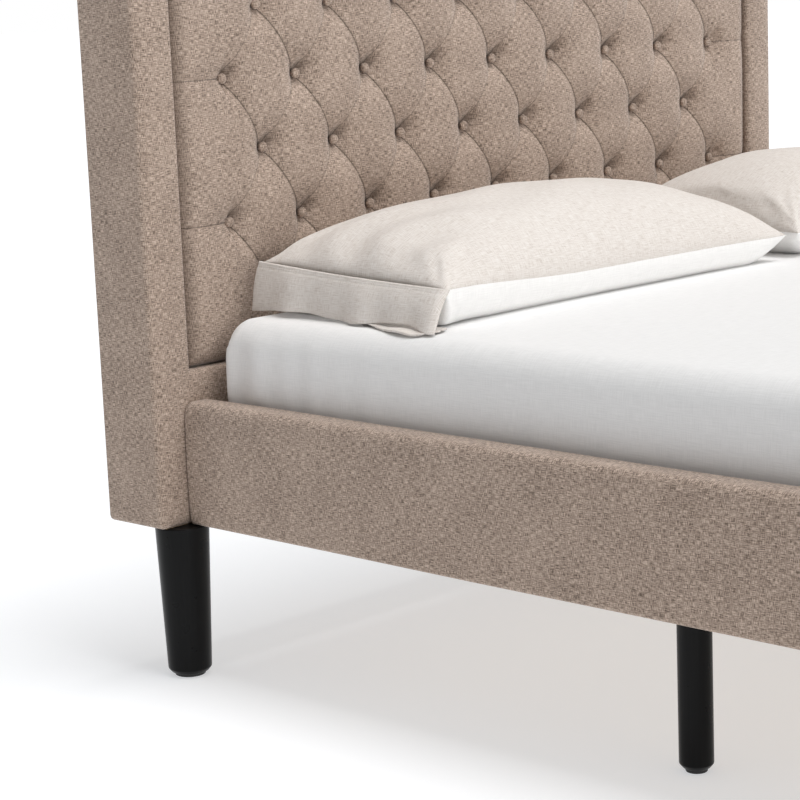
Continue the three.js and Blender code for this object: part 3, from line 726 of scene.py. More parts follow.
class BED_OT_tufting(bpy.types.Operator):
    """Makes the diamond-tufted pad in the headboard"""

    bl_idname = "bed.tufting"
    bl_label = "Tufted pad"

    def execute(self, context):
        sizes = context.scene.bed_sizes
        # A grid over the panel whose lines pass through the buttons, and which is closer at the
        # rim; the cloth lies behind its crests by tufted_depth.
        steps = 32  # grid steps from a button to the line of its neighbour in the next row
        rim = np.array([0.0, 0.0006, 0.0015, 0.0028, 0.0045, 0.0065, 0.009])
        even_from, unevenness, wave = 0.0105, 0.0006, 0.20

        def places(low, high, middle, step):
            first, last = low + even_from, high - even_from
            inner = np.arange(math.ceil((first - middle) / step),
                              math.floor((last - middle) / step) + 1) * step + middle
            return np.concatenate([low + rim, inner, (high - rim)[::-1]])

        columns = places(PANEL[0], PANEL[1], 0.0, sizes.button_pitch / 2 / steps)
        rows = places(PANEL[2], PANEL[3], LINEN_MIDDLE_ROW, sizes.row_pitch / steps)
        upward, across = np.meshgrid(rows, columns, indexing="ij")
        depth = tufted_depth(across, upward, sizes)
        front = np.stack([across, CREST + depth, upward], -1)
        front[..., 1] += wander(front, unevenness, wave, 5)
        count_rows, count_columns = front.shape[:2]
        index = np.arange(count_rows * count_columns).reshape(count_rows, count_columns)
        border = np.concatenate([index[0], index[1:, -1], index[-1, -2::-1], index[-2:0:-1, 0]])
        points = front.reshape(-1, 3)
        back = points[border].copy()
        back[:, 1] = float(PAD_HIGH[1])
        start = len(points)
        around = start + np.arange(len(border))
        skirt = np.stack([border, np.roll(border, -1), np.roll(around, -1), around], -1)
        centre = np.array([[0.0, float(PAD_HIGH[1]), LINEN_MIDDLE_ROW]])
        points = np.concatenate([points, back, centre])
        faces = [grid_faces(count_rows, count_columns)[:, ::-1], skirt[:, ::-1],
                 fan(around, len(points) - 1)[:, ::-1]]
        pad = make_piece("tufted_pad", points, faces, finish("tufted_linen_painted_shade"), slot="linen_weave",
                         along=1)
        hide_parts("headboard_tufted_pad")
        return {"FINISHED"}


class BED_OT_buttons(bpy.types.Operator):
    """Makes the covered buttons of the tufting"""

    bl_idname = "bed.buttons"
    bl_label = "Covered buttons"

    def execute(self, context):
        sizes = context.scene.bed_sizes
        radius, height = sizes.button_radius, sizes.button_height
        facets = 24
        turn = np.linspace(0, 2 * math.pi, facets, endpoint=False)
        # Half profile from the crown to the shank: radius and distance behind the crown.
        profile = np.array([(0.0, 0.0), (0.40, 0.04), (0.68, 0.13), (0.87, 0.31), (0.97, 0.60),
                            (1.0, 0.85), (0.94, 1.1), (0.7, 1.35), (0.6, 2.1)])
        out, behind = profile[1:, 0] * radius, profile[1:, 1] * height
        ring = np.stack([out[:, None] * np.cos(turn), behind[:, None] + 0 * turn,
                         out[:, None] * np.sin(turn)], -1)
        one = np.concatenate([ring.reshape(-1, 3), [[0, 0, 0], [0, behind[-1], 0]]])
        rows, columns = ring.shape[:2]
        first = np.arange(columns)
        faces = [grid_faces(rows, columns, close_columns=True), fan(first, rows * columns),
                 fan(((rows - 1) * columns + first)[::-1], rows * columns + 1)]
        places = button_places(sizes)
        at = np.stack([places[:, 0], np.full(len(places), BUTTON_CROWN),
                       places[:, 1] + LINEN_MIDDLE_ROW], -1)
        points = (one[None] + at[:, None]).reshape(-1, 3)
        step = (np.arange(len(places)) * len(one))[:, None, None]
        faces = [(f[None] + step).reshape(-1, f.shape[1]) for f in faces]
        buttons = make_piece("tufting_buttons", points, faces, finish("linen_weave"),
                             slot="linen_weave", along=1)
        return {"FINISHED"}


def padded_bar(name, node, axis, edges, crown, top_crown, **facts):
    """A padded bar along X or Y: its section is a rounded rectangle, taken from the CAD node's
    box, whose outer side swells as one minus the square of the height, and whose top stands up as
    one minus the fourth power of the distance from its middle; the ends draw in by a quarter
    circle."""
    low, high = span(node)
    along = {"x": 0, "y": 1}[axis]
    other = 1 - along
    outward = 1 if low[other] + high[other] > 0 else -1
    section = rounded_rectangle((low[other], low[2]), (high[other], high[2]), edges, 16, 7)
    middle, half = (low[[other, 2]] + high[[other, 2]]) / 2, (high[[other, 2]] - low[[other, 2]]) / 2
    from_middle = (section - middle) / half
    swell = np.clip(1 - from_middle[:, 1] ** 2, 0, 1) * (from_middle[:, 0] * outward > 0.5)
    section[:, 0] += outward * crown * swell
    section[:, 1] += top_crown * (1 - from_middle[:, 0] ** 4) * (from_middle[:, 1] > 0.5)
    end, steps = 0.005, 120
    turn = np.radians(np.linspace(0, 90, 5))
    rounding = end * (1 - np.sin(turn))
    stations = low[along] + end * (1 - np.cos(turn))
    run = np.linspace(low[along] + end, high[along] - end, steps)[1:-1]
    stations = np.concatenate([stations, run, high[along] - end * (1 - np.cos(turn[::-1]))])
    draw = np.concatenate([rounding, np.zeros(len(run)), rounding[::-1]])
    scaled = middle + (section - middle)[None] * (1 - draw[:, None, None] / half)
    rings = np.zeros((len(stations), len(section), 3))
    rings[..., along] = stations[:, None]
    rings[..., other] = scaled[..., 0]
    rings[..., 2] = scaled[..., 1]
    # The cover is pulled a little unevenly, outwards and upwards.
    rings[..., other] += outward * wander(rings, 0.0006, 0.40, 11) * (draw[:, None] == 0)
    rings[..., 2] += wander(rings, 0.0005, 0.5, 12) * (draw[:, None] == 0)
    bar = swept(name, rings, finish("linen_weave"), slot="linen_weave", **facts)
    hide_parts(node)
    return bar


class BED_OT_rails(bpy.types.Operator):
    """Makes the padded covers of the side rails and the foot rail"""

    bl_idname = "bed.rails"
    bl_label = "Padded rails"

    def execute(self, context):
        sizes = context.scene.bed_sizes
        wide, narrow = sizes.rail_edge, 0.007  # radii of the seen edges and of the others
        for hand, side in SIDES:
            # Radii run from the lower right corner round by the upper right.
            edges = (narrow, wide, narrow, narrow) if side > 0 else (narrow, narrow, wide, narrow)
            padded_bar(f"rail_cover_{hand}", f"side_rail_cover_{hand}", "y", edges,
                       sizes.rail_crown, sizes.rail_top_crown)
        padded_bar("rail_cover_foot", "foot_rail_cover", "x", (narrow, narrow, wide, narrow),
                   sizes.rail_crown, sizes.rail_top_crown)
        return {"FINISHED"}


def slab_profile(low, high, edge, tuck, steps=9):
    """A slab's edge in section, from the flat top round to under the bottom edge: distance in
    from the outline, and height. Both edges are quarter circles."""
    turn = np.radians(np.linspace(0, 90, steps))
    over = np.stack([edge * (1 - np.sin(turn)), high - edge * (1 - np.cos(turn))], -1)
    side = np.linspace(high - edge, low + edge, 14)[1:-1]
    side = np.stack([0 * side, side], -1)
    under = np.stack([edge * (1 - np.cos(turn)), low + edge * (1 - np.sin(turn))], -1)
    tucked = np.linspace(edge, tuck, 8)[1:]
    tucked = np.stack([tucked, np.full(len(tucked), low)], -1)
    return np.concatenate([over, side, under, tucked])


def slab_rings(low, high, corner, profile, side_steps=48, corner_steps=12, flat_steps=26,
               swell=0.0, flat_bottom=False):
    """Rings of points round a slab. Those of the flat top shrink from the edge to the middle; one
    for each point of the profile follows, drawn in by its distance. The sides swell by a little,
    as one minus the square of the height from the middle."""
    rings = []
    for inset, height in profile:
        from_middle = (height - (low[2] + high[2]) / 2) / (high[2] - low[2]) * 2
        inset = inset - swell * (1 - from_middle ** 2) * (inset < 0.03)
        flat = rounded_rectangle(low[:2] + inset, high[:2] - inset, max(corner - inset, 0.001),
                                 side_steps, corner_steps)
        rings.append(np.insert(flat, 2, height, axis=1))
    middle = (low[:2] + high[:2]) / 2

    def shrunk(ring, shares):
        copies = np.repeat(ring[None], len(shares), axis=0)
        copies[..., :2] = middle + (copies[..., :2] - middle) * shares[:, None, None]
        return copies

    shares = np.linspace(0.012, 1, flat_steps)[:-1]
    parts = [shrunk(rings[0], shares), np.stack(rings)]
    if flat_bottom:
        parts.append(shrunk(rings[-1], shares[::-1]))
    return np.concatenate(parts)


class BED_OT_mattress(bpy.types.Operator):
    """Makes the mattress, quilted on its underside"""

    bl_idname = "bed.mattress"
    bl_label = "Mattress"

    def execute(self, context):
        edge, corner, border = 0.042, 0.040, 0.09
        profile = slab_profile(MATTRESS_LOW[2], MATTRESS_HIGH[2], edge, border)
        rings = slab_rings(MATTRESS_LOW, MATTRESS_HIGH, corner, profile, flat_bottom=True)
        # Quilting on the underside, in squares that stand between its stitched lines.
        waves, quilt_depth = 42, 0.002
        under = np.abs(rings[..., 2] - MATTRESS_LOW[2]) < 1e-6
        quilt = np.abs(np.sin(rings[..., 0] * waves) * np.sin(rings[..., 1] * waves)) ** 0.4
        rings[..., 2] += under * quilt_depth * (1 - quilt)
        mattress = swept("mattress_block", rings, finish("ticking"), body="mattress",
                         slot="ticking", along=2)
        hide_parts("mattress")
        return {"FINISHED"}


SHEET_EDGE = 0.0435  # radius of the sheet's upper and lower edges
SHEET_TUCK = 0.112  # how far it is tucked under the mattress


class BED_OT_sheet(bpy.types.Operator):
    """Makes the fitted sheet, gathered at its corners and tucked under the mattress"""

    bl_idname = "bed.sheet"
    bl_label = "Fitted sheet"

    def execute(self, context):
        sizes = context.scene.bed_sizes
        corner, swell, crown_height, clearance = 0.0355, 0.0030, 0.004, 0.0015
        wave, slow_wave, gather_reach = 0.064, 0.113, 0.20
        free_room, room_from, room_to = 0.014, 0.001, 0.040
        half = float(SHEET_HIGH[0] - SHEET_LOW[0]) / 2
        profile = slab_profile(SHEET_LOW[2], SHEET_HIGH[2], SHEET_EDGE, SHEET_TUCK, 12)
        rings = slab_rings(SHEET_LOW, SHEET_HIGH, corner, profile, 150, 14, 14, swell)
        middle = (SHEET_LOW + SHEET_HIGH) / 2
        # The gathers run down the sides from the top edge and fade away from each corner.
        from_corner = np.minimum(
            np.hypot(np.abs(rings[..., 0] - middle[0]) - (SHEET_HIGH[0] - middle[0]),
                     np.abs(rings[..., 1] - middle[1]) - (SHEET_HIGH[1] - middle[1])), 1.0)
        along = rings[..., 0] - rings[..., 1] * np.sign(rings[..., 0])
        fold = np.sin(along * 2 * math.pi / wave + 1.1 * np.sin(along * 17)) \
            + 0.6 * np.sin(along * 2 * math.pi / slow_wave + 1.7)
        depth = (SHEET_HIGH[2] - rings[..., 2]) / (SHEET_HIGH[2] - SHEET_LOW[2])
        strength = smooth_step(depth, 0.02, 0.30) * np.exp(-from_corner / gather_reach)
        outward = rings[..., :2] - middle[:2]
        facing = np.stack([np.abs(outward[..., 0]) > SHEET_HIGH[0] - middle[0] - 0.004,
                           np.abs(outward[..., 1]) > SHEET_HIGH[1] - middle[1] - 0.004], -1)
        push = sizes.gather * (0.5 + 0.5 * fold) * strength + wander(rings, 0.0007, 0.22, 22) \
            * smooth_step(depth, 0.05, 0.4)
        rings[..., :2] += facing * np.sign(outward) * push[..., None]
        # Down between the rails the cloth has no room to stand out.
        rail, foot = span("side_rail_cover_right"), span("foot_rail_cover")
        room = free_room * smooth_step(rings[..., 2], rail[1][2] + room_from,
                                       rail[1][2] + room_to) - clearance
        limit = float(rail[0][0]) + room
        rings[..., 0] = np.clip(rings[..., 0], -limit, limit)
        rings[..., 1] = np.clip(rings[..., 1], float(foot[1][1]) - room,
                                SHEET_HIGH[1] + clearance)
        # The top lies a little loose and crowned.
        top = depth < 0.02
        crown = (1 - (outward[..., 0] / half) ** 2) * crown_height
        rings[..., 2] += top * (crown + wander(rings, 0.0007, 0.5, 21)) \
            * smooth_step(SHEET_HIGH[0] - middle[0] - np.abs(outward[..., 0]), 0.04, 0.2)
        rows, columns = rings.shape[:2]
        points = np.concatenate([rings.reshape(-1, 3), rings[:1].mean(1)])
        faces = [grid_faces(rows, columns, close_columns=True),
                 fan(np.arange(columns), rows * columns)]
        cloth = make_piece("fitted_cover", points, faces, finish("cotton_sheet"), body="mattress",
                           slot="cotton_sheet")
        skin = cloth.modifiers.new("thickness", "SOLIDIFY")
        skin.thickness, skin.offset = sizes.sheet_thickness, -1.0
        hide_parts("fitted_sheet")
        return {"FINISHED"}


def smooth_end(share, power):
    """0 at the end and 1 from a share of 1 on: a quarter of an ellipse raised to a power."""
    share = np.clip(share, 0, 1)
    return (1 - (1 - share) ** 2) ** power


PLUMP_CAP = 0.008  # how far the cloth pass may move a point


def plump(piece, floor):
    """Blows the piece up as cloth under a light pressure, keeps every point within PLUMP_CAP of
    where it was and above the floor, and subdivides it once."""
    last_frame, least_shift = 20, 1e-9
    mesh = piece.data
    start = np.zeros(len(mesh.vertices) * 3)
    mesh.vertices.foreach_get("co", start)
    moved = start
    cloth = piece.modifiers.new("cloth", "CLOTH")
    settings = cloth.settings
    settings.quality, settings.mass = 6, 0.3
    settings.tension_stiffness = settings.compression_stiffness = 18.0
    settings.shear_stiffness, settings.bending_stiffness = 8.0, 0.6
    settings.use_pressure, settings.uniform_pressure_force = True, 4.0
    settings.effector_weights.gravity = 0.0
    cloth.collision_settings.use_collision = False
    scene = bpy.context.scene
    for moment in range(1, last_frame + 1):
        scene.frame_set(moment)
    made = piece.evaluated_get(bpy.context.evaluated_depsgraph_get())
    blown = np.zeros_like(start)
    made.data.vertices.foreach_get("co", blown)
    piece.modifiers.remove(cloth)
    scene.frame_set(1)
    shift = (blown - start).reshape(-1, 3)
    far = np.linalg.norm(shift, axis=1)
    shift *= np.minimum(1.0, PLUMP_CAP / np.maximum(far, least_shift))[:, None]
    moved = start + shift.ravel()
    moved = moved.reshape(-1, 3)
    moved[:, 2] = np.maximum(moved[:, 2], floor)
    mesh.vertices.foreach_set("co", moved.ravel())
    mesh.update()
    piece.modifiers.new("smooth", "SUBSURF").levels = 1
    piece.modifiers["smooth"].render_levels = 1


def open_end_height(bottom, y):
    """Height of the hem line across the open end of the left pillow's case: it climbs from the
    front to the back."""
    low, high = span("pillow_left")
    share = (y - low[1]) / (high[1] - low[1])
    return bottom + 0.056 + 0.021 * share - 0.003 * np.sin(math.pi * share)


class BED_OT_pillows(bpy.types.Operator):
    """Makes the two pillows in their linen cases"""

    bl_idname = "bed.pillows"
    bl_label = "Pillows"

    def execute(self, context):
        sizes = context.scene.bed_sizes
        for hand, side in SIDES:
            self.pillow(sizes, hand, side)
        self.cuff()
        return {"FINISHED"}

    def pillow(self, sizes, hand, side):
        """Over a square grid of u and v from -1 to 1: seen from above the sides pull in between
        the corners; the top rises from the seam by the product of an arch over u and an arch over
        v; the underside falls steeply from the seam, along a quarter of an ellipse, and lies
        flat. The left pillow's outer end is blunt, because its case is open there."""
        low, high = (c.copy() for c in span(f"pillow_{hand}"))
        open_end = hand == "left"
        cuff_room, margin, seam_height = 0.010, 0.003, 0.045
        steps_across, steps_deep = 96, 60
        pull_ends, pull_rear, pull_front, pull_open = 0.028, 0.035, 0.020, 0.020
        dent_depth, dent_pitch, dent_reach = 0.0075, 0.105, 0.16
        crease_depth, crease_reach = 0.0022, 0.085
        slack_depth, slack_wave = 0.0021, 0.17
        if open_end:
            low[0] += cuff_room
        low[:2] += margin
        high[:2] -= margin
        bottom, crest = float(low[2]) + 0.001, float(high[2]) + 0.003
        u = np.sin(np.linspace(-1, 1, steps_across) * math.pi / 2)
        v = np.sin(np.linspace(-1, 1, steps_deep) * math.pi / 2)
        u, v = np.meshgrid(u, v, indexing="ij")
        middle, half = (low + high) / 2, (high - low) / 2
        closed_ends = smooth_step(u, -0.6, 0.6) if open_end else 1.0
        x = middle[0] + half[0] * u * (1 - pull_ends * (1 - v ** 2) * closed_ends)
        y = middle[1] + half[1] * v * (1 - pull_rear * (1 - u ** 2) * (v > 0)
                                       - pull_front * (1 - u ** 2) * (v < 0))
        if open_end:
            y -= pull_open * np.clip(v, 0, 1) ** 2 * smooth_step(-u, 0.6, 1.0)
        seam = bottom + seam_height * np.ones_like(u)
        if open_end:
            climb = open_end_height(bottom, y) - bottom - seam_height
            seam += smooth_step(-u, 0.2, 1.0) * climb
        round_end = np.clip(1 - u ** 2, 0, 1) ** 0.46
        blunt_end = np.clip(1 - np.abs(u) ** 2.8, 0, 1) ** 0.50
        arch_u = np.where(u < 0, blunt_end, round_end) if open_end else round_end
        arch_v = np.clip(1 - np.abs(v) ** 2.1, 0, 1) ** 0.60
        top = seam + (crest - seam) * arch_u * arch_v
        side_run, end_run, open_run = 0.034, 0.11, 0.02  # over which the underside falls
        from_side = (1 - np.abs(v)) * half[1] / side_run
        from_right = (1 - u) * half[0] / end_run
        from_left = (1 + u) * half[0] / (open_run if open_end else end_run)
        fall = smooth_end(from_side, 0.45) * smooth_end(from_right, 0.6) \
            * smooth_end(from_left, 0.6)
        under = seam - (seam - bottom) * fall
        # Soft dents behind the open end and slack creases from the tied corners.
        rise = (top - seam) / (crest - seam)
        end = np.exp(-(1 + u) * half[0] / dent_reach) if open_end else 0.0
        bent = 0.9 + 2.2 * np.sin(x * 14)
        dents = dent_depth * end * np.sin(y * 2 * math.pi / dent_pitch + bent) \
            * smooth_step(rise, 0.05, 0.5)
        to_end, to_side = (1 - np.abs(u)) * half[0], (1 - np.abs(v)) * half[1]
        corner = np.exp(-np.hypot(to_end, to_side) / crease_reach)
        creases = crease_depth * corner * np.sin(np.arctan2(to_side, to_end + 0.02) * 15)
        points_top = np.stack([x, y, top], -1)
        slack = wander(points_top, slack_depth, slack_wave, 31 + side) \
            * smooth_step(rise, 0.1, 0.6)
        points_top[..., 2] += slack + dents + creases * smooth_step(rise, 0.02, 0.3)
        points_under = np.stack([x, y, under], -1)
        rows, columns = x.shape
        index = np.arange(rows * columns).reshape(rows, columns)
        rim = np.zeros((rows, columns), bool)
        rim[[0, -1], :] = rim[:, [0, -1]] = True
        inner = ~rim.ravel()
        below = index.ravel().copy()
        below[inner] = rows * columns + np.arange(inner.sum())
        points = np.concatenate([points_top.reshape(-1, 3),
                                 points_under.reshape(-1, 3)[inner]])
        quads = grid_faces(rows, columns)
        pillow = make_piece(f"pillow_{hand}_case", points, [quads, below[quads][:, ::-1]],
                            [finish("linen_case"), finish("case_back")],
                            body=f"{hand}_pillow", slot="linen_case")
        slots = np.zeros(len(pillow.data.polygons), np.int32)
        slots[len(quads):] = 1
        pillow.data.polygons.foreach_set("material_index", slots)
        plump(pillow, bottom)
        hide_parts(f"pillow_{hand}")

    def cuff(self):
        """The open end of the left pillow's case. Its upper layer comes down over the pillow's end
        from a stitched hem line: it falls straight at the back, flares out towards the front, and
        waves run down it, deeper towards its lower edge. Its lower layer lies on the sheet as a
        flap with a rounded outline."""
        low, high = span("pillow_left")
        upper_drop, flap_width, flap_reach, stitch_width = 0.072, 0.175, 0.060, 0.02
        lean_front, lean_rear, hem_lift = 0.016, 0.009, 0.0025
        fall, ripple, flare, stitch, tuck = 0.008, 0.0055, 0.026, 0.0010, 0.010
        flap_skew, flap_lift, cloth = 0.040, 0.0026, 0.0022
        bottom, front, rear = float(low[2]), float(low[1]) - 0.002, float(high[1]) - 0.025
        end = float(low[0]) + 0.0120
        t, w = np.meshgrid(np.linspace(0, 1, 150), np.linspace(0, 1, 44), indexing="ij")
        y = front + (rear - front) * t - lean_front * w * (1 - t) + lean_rear * w * t
        hem = open_end_height(bottom + 0.001, y) + hem_lift
        edge = bottom + 0.002 + 0.0035 * (1 + np.sin(t * 11.0 - 0.5)) * smooth_step(t, 0.0, 0.15)
        z = hem + (edge - hem) * w
        wave = np.sin(t * 2 * math.pi * 2.6 + 1.2) + 0.6 * np.sin(t * 2 * math.pi * 5.3 + 0.4)
        x = end - fall * np.sin(np.clip(w / 0.6, 0, 1) * math.pi / 2) - ripple * w * (1 + wave) \
            - flare * (1 - t) ** 2 * w
        stitched = np.exp(-((w - 0.05) / stitch_width) ** 2) \
            + np.exp(-((w - 0.11) / stitch_width) ** 2)
        x += stitch * stitched - 0.0012 * (w > 0.02)
        x += tuck * np.clip(1 - t / 0.03, 0, 1) ** 2 * (1 - 0.7 * w)
        upper = np.stack([x, y, z], -1)

        t, w = np.meshgrid(np.linspace(0, 1, 60), np.linspace(0, 1, 16), indexing="ij")
        reach = np.sin(math.pi * t ** 0.7) ** 0.7 * w
        outward = end + 0.004 - (0.056 * reach + 0.004 * w)
        from_side = np.clip(outward - float(SHEET_LOW[0]) + 0.004, 0.004, SHEET_EDGE)
        droop = SHEET_EDGE - np.sqrt(SHEET_EDGE ** 2 - (SHEET_EDGE - from_side) ** 2)
        lower = np.stack([outward, front + 0.004 + flap_width * t - flap_skew * reach,
                          bottom + flap_lift + 0.0012 * np.sin(t * 17.0) * w - droop], -1)
        rows, columns = upper.shape[:2]
        faces = [grid_faces(rows, columns), grid_faces(*lower.shape[:2]) + rows * columns]
        points = np.concatenate([upper.reshape(-1, 3), lower.reshape(-1, 3)])
        strip = make_piece("pillow_left_cuff", points, faces, finish("linen_case"),
                           body="left_pillow", slot="linen_case", closed=False)
        skin = strip.modifiers.new("thickness", "SOLIDIFY")
        skin.thickness, skin.offset = cloth, 0.0


def turned(name, profile, centre, sides, look, **facts):
    """A turned piece: its profile's radii and heights carried round a vertical axis."""
    turn = np.linspace(0, 2 * math.pi, sides, endpoint=False)
    radius, height = np.array(profile).T
    rings = np.stack([centre[0] + radius[:, None] * np.cos(turn),
                      centre[1] + radius[:, None] * np.sin(turn),
                      height[:, None] + 0 * turn], -1)
    return swept(name, rings, look, **facts)


def chamfered(points, size, steps=4):
    """A profile whose inner corners are rounded off by short arcs of the given size."""
    points = [np.array(p, float) for p in points]
    result = [points[0]]
    for before, corner, after in zip(points, points[1:], points[2:]):
        back, ahead = before - corner, after - corner
        reach = min(size, np.linalg.norm(back) / 2.2, np.linalg.norm(ahead) / 2.2)
        start = corner + back / np.linalg.norm(back) * reach
        end = corner + ahead / np.linalg.norm(ahead) * reach
        for share in np.linspace(0, 1, steps + 1):
            first = start * (1 - share) + corner * share
            second = corner * (1 - share) + end * share
            result.append(first * (1 - share) + second * share)
    result.append(points[-1])
    return result


LEG_TAPER = 34 / 42  # a corner leg's width at its foot, as a share of its width at the top
CAD_GAP = 0.0003  # between neighbouring solids of the frame


class BED_OT_legs(bpy.types.Operator):
    """Makes the turned legs and the glides under them"""

    bl_idname = "bed.legs"
    bl_label = "Legs and glides"

    def execute(self, context):
        sizes = context.scene.bed_sizes
        names = [n for n in frame["nodes"] if n.startswith(("leg_head", "leg_foot", "support_leg"))]
        for node in sorted(names):
            low, high = span(node)
            centre = (low + high) / 2
            top_radius = float(high[0] - low[0]) / 2
            corner = node.startswith("leg_")
            foot_radius = top_radius * (LEG_TAPER if corner else 1.0)
            glide = node.replace("leg_", "glide_", 1)
            floor, lift = span(glide)
            above = APRON_LOW if corner else span("leg_board")[0]
            shoulder = float(above[2]) - CAD_GAP
            start, bevel, bore, arc = float(low[2]), 0.0055, 0.004, 0.0016
            # Upwards: the sole, the chamfer, the taper and the top.
            profile = chamfered([(bore, start), (foot_radius - bevel, start),
                                 (foot_radius, start + bevel * 1.2), (top_radius, shoulder),
                                 (bore, shoulder)], arc)
            rise = np.linspace(0, 1, 18)[1:-1, None]
            profile = np.array(profile)
            split = int(np.argmax(np.diff(profile[:, 1]))) + 1
            run = profile[split - 1] * (1 - rise) + profile[split] * rise
            profile = np.concatenate([profile[:split], run, profile[split:]])
            leg = turned(f"{node}_turned", profile, centre, sizes.leg_sides,
                         finish("black_lacquer"), slot="black_lacquer")
            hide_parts(node)
            radius, thick = float(lift[0] - floor[0]) / 2, float(lift[2])
            hole, inset, rise, arc = 0.003, 0.0008, 0.0012, 0.0007
            disc = chamfered([(hole, 0.0), (radius - inset, 0.0), (radius, rise),
                              (radius, thick), (hole, thick)], arc)
            foot = turned(f"{glide}_turned", disc, centre, sizes.leg_sides // 2, finish("nylon"),
                          slot="nylon")
            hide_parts(glide)
        return {"FINISHED"}


def planed(name, node, look, radius=0.003, **facts):
    """A timber bar with eased edges, to the size of its CAD node, drawn along its longest side."""
    low, high = span(node)
    along = int(np.argmax(high - low))
    first, second = [k for k in range(3) if k != along]
    section = rounded_rectangle((low[first], low[second]), (high[first], high[second]), radius, 4, 3)
    middle = (low + high)[[first, second]] / 2
    half = (high - low)[[first, second]] / 2
    turn = np.radians(np.linspace(0, 90, 4))
    ease = radius * 0.6
    ends = ease * (1 - np.cos(turn))
    draw = ease * (1 - np.sin(turn))
    run = np.linspace(low[along] + ease, high[along] - ease, 12)[1:-1]
    stations = np.concatenate([low[along] + ends, run, high[along] - ends[::-1]])
    draw = np.concatenate([draw, np.zeros(len(run)), draw[::-1]])
    rings = np.zeros((len(stations), len(section), 3))
    rings[..., along] = stations[:, None]
    rings[..., [first, second]] = middle + (section - middle)[None] * (1 - draw[:, None, None]
                                                                      / half)
    bar = swept(name, rings, look, **facts)
    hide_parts(node)
    return bar


class BED_OT_base(bpy.types.Operator):
    """Makes the slats, the ledges and the centre beam with eased edges"""

    bl_idname = "bed.base"
    bl_label = "Slatted base"

    def execute(self, context):
        for node in sorted(n for n in frame["nodes"] if n.startswith("slat_")):
            ledge = node.startswith("slat_ledge")
            planed(f"{node}_planed", node, finish("pine_along" if ledge else "pine_across"),
                   slot="pine")
        planed("centre_beam_planed", "centre_beam", finish("pine_along"), slot="pine")
        return {"FINISHED"}


class BED_OT_dust_cover(bpy.types.Operator):
    """Makes the thin dust cover stapled to the back of the headboard"""

    bl_idname = "bed.dust_cover"
    bl_label = "Dust cover"

    def execute(self, context):
        low, high = span("headboard_dust_cover")
        pitch, reach, dent, setback, cloth = 0.06, 0.02, 0.0005, 0.0008, 0.0006
        across = np.linspace(low[0], high[0], 160)
        upward = np.linspace(low[2], high[2], 76)
        z, x = np.meshgrid(upward, across, indexing="ij")
        # It is pulled tight at staples along its edges and lies slightly slack between them.
        rim = np.minimum.reduce([x - low[0], high[0] - x, z - low[2], high[2] - z])
        near = np.exp(-rim / reach)
        staples = np.cos(2 * math.pi * x / pitch) * (np.minimum(z - low[2], high[2] - z) < pitch) \
            + np.cos(2 * math.pi * z / pitch) * (np.minimum(x - low[0], high[0] - x) < pitch)
        y = high[1] - setback + near * staples * dent
        points = np.stack([x, y, z], -1)
        points[..., 1] += wander(points, 0.0008, 0.3, 41) * smooth_step(rim, 0, 0.08)
        cover = make_piece("dust_cloth", points.reshape(-1, 3), [grid_faces(*x.shape)],
                           finish("cambric"), slot="cambric", along=1, closed=False)
        skin = cover.modifiers.new("thickness", "SOLIDIFY")
        skin.thickness, skin.offset = cloth, 0.0
        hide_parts("headboard_dust_cover")
        return {"FINISHED"}


class BED_OT_carcass(bpy.types.Operator):
    """Finishes the timbers, boards and steel fittings that keep their CAD shape"""

    bl_idname = "bed.carcass"
    bl_label = "Timbers and fittings"

    def execute(self, context):
        looks = {"pine": "pine_across", "plywood": "plywood", "black_steel": "black_steel"}
        slots = {row["node"]: row["material_slot"] for row in frame["record"]["subparts"]}
        for node, piece in frame["nodes"].items():
            if piece.hide_render:
                continue
            look = looks[slots[node]]
            if node.startswith(("headboard_post", "headboard_centre")):
                look = "pine_upright"
            elif node.startswith("side_rail"):
                look = "pine_along"
            piece.data.materials.clear()
            piece.data.materials.append(finish(look))
        return {"FINISHED"}


def placed(right, up, back, place):
    """The matrix of something at a place, whose own X, Y and Z point right, up and back."""
    rows = np.stack([right, up, back, place], -1).tolist()
    return Matrix(rows + [[0.0, 0.0, 0.0, 1.0]])


CAMERA_PLACE = (-2.9152, FACE - 2.590, 1.0402)
CAMERA_TURN = (-45.51, 10.43, -2.31)  # degrees: azimuth, elevation and roll
LENS, SENSOR = 100.95, 36.0  # millimetres
KEY_FROM, FRONT_FROM = (0.20, -0.24, 0.95), (0.05, -0.95, 0.28)
SUN_WIDTH = 40.0  # degrees
FLOOR_HALF = 60.0


